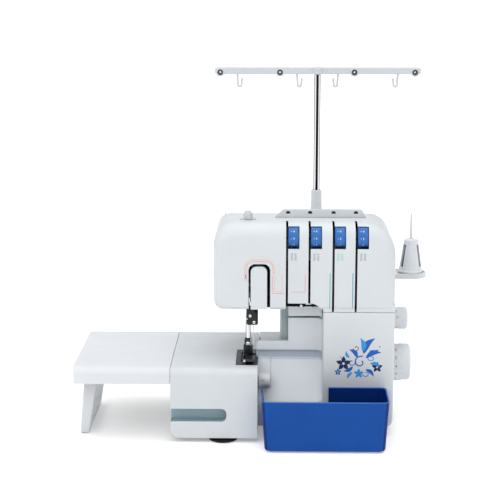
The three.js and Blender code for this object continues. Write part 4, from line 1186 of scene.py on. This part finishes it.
# ---------------------------------------------------------------- spool stand, mast and tree
def add_stand():
    front, back, bottom, top = 197, STAND.back, 184, 192

    def tray_ring(inset):
        return rounded((STAND.left + inset, STAND.right - inset), (front + inset, back - inset),
            18.8 - inset, 16)

    tray = swept("spool_tray", "z", lambda z: tray_ring(quarter(2, z - bottom) + quarter(1, top - z)),
        stations(bottom, top, 2, 1, 4), [WHITE])
    dish = prism("z", tray_ring(3), top - 1.2, top + 1, [WHITE])
    cut(tray, dish)
    seats = [rod("z", (x, MAST.y), 12, top - 2, top, [WHITE], 64, 0.4) for x in PIN_X]
    socket = turned("socket", "z", (MAST.x, MAST.y), [(0, STAND.bottom + 8), (13.2, STAND.bottom + 8),
        (14, STAND.bottom + 9), (14, STAND.top - 4), (12.6, STAND.top - 0.8), (11.6, STAND.top),
        (0, STAND.top)], [WHITE])
    bracket = block((MAST.x - 22, MAST.x + 22), (190.4, front + 4), (bottom - 16, top - 1.4), [WHITE])
    unite(tray, socket, bracket, *seats)
    cut(tray, rod("z", (MAST.x, MAST.y), 9.3, STAND.bottom - 5, STAND.top + 5, [WHITE]),
        *[rod("z", (x, MAST.y), 2.3, bottom + 3, top + 5, [WHITE], 32) for x in PIN_X])
    place(tray, "machine", ["spool_stand"])

    for i, x in enumerate(PIN_X, 1):
        pin = span(f"spool_pin_{i}")
        profile = [(0, pin.bottom), (2, pin.bottom), (2, pin.bottom + 22), (1.75, pin.top - 12),
            (1.5, pin.top - 1.6), (1.1, pin.top - 0.4), (0, pin.top)]
        place(turned(f"pin_{i}", "z", (x, pin.y), profile, [WHITE_SMALL], 32), "machine",
            [f"spool_pin_{i}"])
        holder = span(f"cone_holder_{i}")
        base = holder.bottom
        shell = turned("cone", "z", (x, holder.y), [(18.5, base), (18.5, base + 2.4), (17.8, base + 3.2),
            (16.9, base + 3.6), (10.4, base + 46.4), (9.4, base + 48.0), (3.4, base + 50),
            (2.6, base + 50), (2.6, base + 47.8), (8.6, base + 45.6), (15.2, base + 2), (15.2, base),
            (18.5, base)], [WHITE_SMALL], 72)
        for k in range(3):
            angle = math.pi / 2 + 2 * math.pi * k / 3
            along = Vector((math.cos(angle), math.sin(angle)))
            across = Vector((-along.y, along.x))
            middle = Vector((x, holder.y))
            corners = [middle + along * out + across * side
                       for out, side in ((4, -3.2), (22, -3.2), (22, 3.2), (4, 3.2))]
            cut(shell, prism("z", [tuple(c) for c in corners], base + 8, base + 41, [WHITE_SMALL]))
        core = turned("core", "z", (x, holder.y), [(2.6, base + 1), (4.2, base + 1), (3.6, base + 46),
            (2.6, base + 46), (2.6, base + 1)], [WHITE_SMALL], 32)
        place(gather(f"cone_{i}", [shell, core]), f"cone_holder_{i}", [f"cone_holder_{i}"])


def add_mast():
    tube_node = span("mast_tube")
    base = tube_node.bottom
    bore = 5.0
    profile = [(bore, base), (9, base), (9, base + 60), (8.9, tube_node.top - 28),
        (8.0, tube_node.top - 26), (7.8, tube_node.top - 2), (7.2, tube_node.top - 0.4),
        (6.6, tube_node.top), (bore, tube_node.top), (bore, base)]
    place(turned("mast_sleeve", "z", (MAST.x, MAST.y), profile, [WHITE_SMALL], 72), "machine",
        ["mast_tube"])
    mast = rod("z", (MAST.x, MAST.y), (MAST.right - MAST.left) / 2, MAST.bottom, MAST.top, [MAST_PAINTED_DARK_CHROME],
        64, 0.5)
    # The rod's faces get bands by where they look: a near-black strip front and back, bright bands beside it
    # and dark chrome to the sides, as painted reflection.
    mast.data.materials.append(MAST_PAINTED_HIGHLIGHT)
    mast.data.materials.append(MAST_PAINTED_BLACK_REFLECTION)
    for face in mast.data.polygons:
        sideways = abs(face.normal.x)
        if abs(face.normal.z) < 0.5 and sideways < 0.8:
            face.material_index = 2 if sideways < 0.42 else 1
    place(mast, "mast_rod", ["mast_rod"])


def add_tree():
    bar_bottom, top, y = 482.4, TREE.top, MAST.y
    ring = rounded((TREE.left, TREE.right), (bar_bottom, top), 4, 8)
    bar = prism("y", ring, y - 4.5, y + 4.5, [TREE_PLASTIC], 1.4, "tree_bar")
    middle = (bar_bottom + top) / 2 - 2
    lugs = []
    eyes = []
    for x in EYES:
        lugs.append(rod("y", (x, middle), 6.4, y - 5, y + 5, [TREE_PLASTIC], 48, 1.2))
        ring_profile = [(1.3, y - 5.1), (1.8, y - 5.5), (3.8, y - 5.5), (4.2, y - 5.1), (4.2, y - 4.0),
            (1.3, y - 4.0), (1.3, y - 5.1)]
        eyes.append(turned("eye", "y", (x, middle), ring_profile, [EYELET], 40))
    boss = turned("boss", "z", (MAST.x, y), [(0, bar_bottom), (7.8, bar_bottom), (8.5, bar_bottom + 1),
        (8.5, top - 1.6), (7.4, top - 0.2), (6.8, top), (0, top)], [TREE_PLASTIC], 64)
    unite(bar, boss, *lugs)
    cut(bar, *[rod("y", (x, middle), 1.4, y - 8, y + 8, [BLACK], 32) for x in EYES])
    hooks = [tree_hook(x, way, bar_bottom, y) for x, way in HOOKS]
    place(gather("tree_arm", [bar] + hooks + eyes), "thread_tree", ["thread_tree"])


def tree_hook(x, way, top, y):
    """A flat J-shaped thread hook, open to one side."""
    foot = TREE.bottom
    half = 2.5
    path = [(-half - 1.1, top + 2), (-half, foot + 5)]
    path += [(half * math.cos(a), foot + 3.5 + 2.0 * math.sin(a))
        for a in (math.pi + math.pi * k / 10 for k in range(11))]
    path += [(half + 0.5, foot + 9), (half + 0.9, foot + 13.5)]
    left, right = [], []
    for i, point in enumerate(path):
        ahead = (Vector(path[min(i + 1, len(path) - 1)]) - Vector(path[max(i - 1, 0)])).normalized()
        across = Vector((-ahead.y, ahead.x)) * 1.45
        left.append(Vector(point) + across)
        right.append(Vector(point) - across)
    ring = [(x + way * p.x, p.y) for p in left + right[::-1]]
    return prism("y", ring, y - 2, y + 2, [TREE_PLASTIC], 0, "hook")


# ---------------------------------------------------------------- room, light and camera
def add_room():
    scene = bpy.context.scene
    floor_material, tree, shader = new_material("studio_floor", 0.9, specular=0.1)
    tree.links.new(two_tone(tree, noise(tree, 3, 2), (0.86, 0.86, 0.86), 0.995), shader.inputs["Base Color"])
    shader.inputs["Emission Color"].default_value = (1, 1, 1, 1)
    shader.inputs["Emission Strength"].default_value = FLOOR_GLOW
    size = FLOOR_HALF_SIZE
    mesh = bpy.data.meshes.new("floor")
    mesh.from_pydata([(-size, -size, 0), (size, -size, 0), (size, size, 0), (-size, size, 0)], [],
        [(0, 1, 2, 3)])
    mesh.materials.append(floor_material)
    floor = bpy.data.objects.new("floor", mesh)
    scene.collection.objects.link(floor)

    world = bpy.data.worlds.new("studio")
    scene.world = world
    world.use_nodes = True
    nodes, links = world.node_tree.nodes, world.node_tree.links
    direction = nodes.new("ShaderNodeTexCoord")
    split = nodes.new("ShaderNodeSeparateXYZ")
    climb = nodes.new("ShaderNodeMapRange")
    climb.inputs["To Min"].default_value = SKY_LOW
    climb.inputs["To Max"].default_value = SKY_HIGH
    links.new(direction.outputs["Generated"], split.inputs["Vector"])
    links.new(split.outputs["Z"], climb.inputs["Value"])
    links.new(climb.outputs["Result"], nodes["Background"].inputs["Strength"])
    nodes["Background"].inputs["Color"].default_value = (1, 1, 1, 1)

    for name, (spot, size, power) in LAMPS.items():
        lamp = bpy.data.lights.new(name, "AREA")
        lamp.size = size
        lamp.energy = power
        light = bpy.data.objects.new(name, lamp)
        light.location = spot
        light.rotation_euler = (Vector((0, 0, 0.15)) - Vector(spot)).to_track_quat("-Z", "Y").to_euler()
        scene.collection.objects.link(light)

    lens = bpy.data.cameras.new("camera")
    lens.lens = FOCAL_LENGTH
    lens.sensor_width = 36
    camera = bpy.data.objects.new("camera", lens)
    camera.location = CAMERA_SPOT
    camera.rotation_euler = (math.radians(90 - CAMERA_DOWN), 0, math.radians(CAMERA_TURN))
    scene.collection.objects.link(camera)
    scene.camera = camera
    scene.view_settings.view_transform = "Standard"


add_room()
add_head()
add_head_marks()
add_dials()
add_knob()
add_guide_plate()
add_rear()
add_cover()
add_flowers()
add_arm()
add_needle_plate()
add_needle_parts()
add_feed()
add_box()
add_table()
add_bin()
add_side_controls()
add_feet()
add_stand()
add_mast()
add_tree()
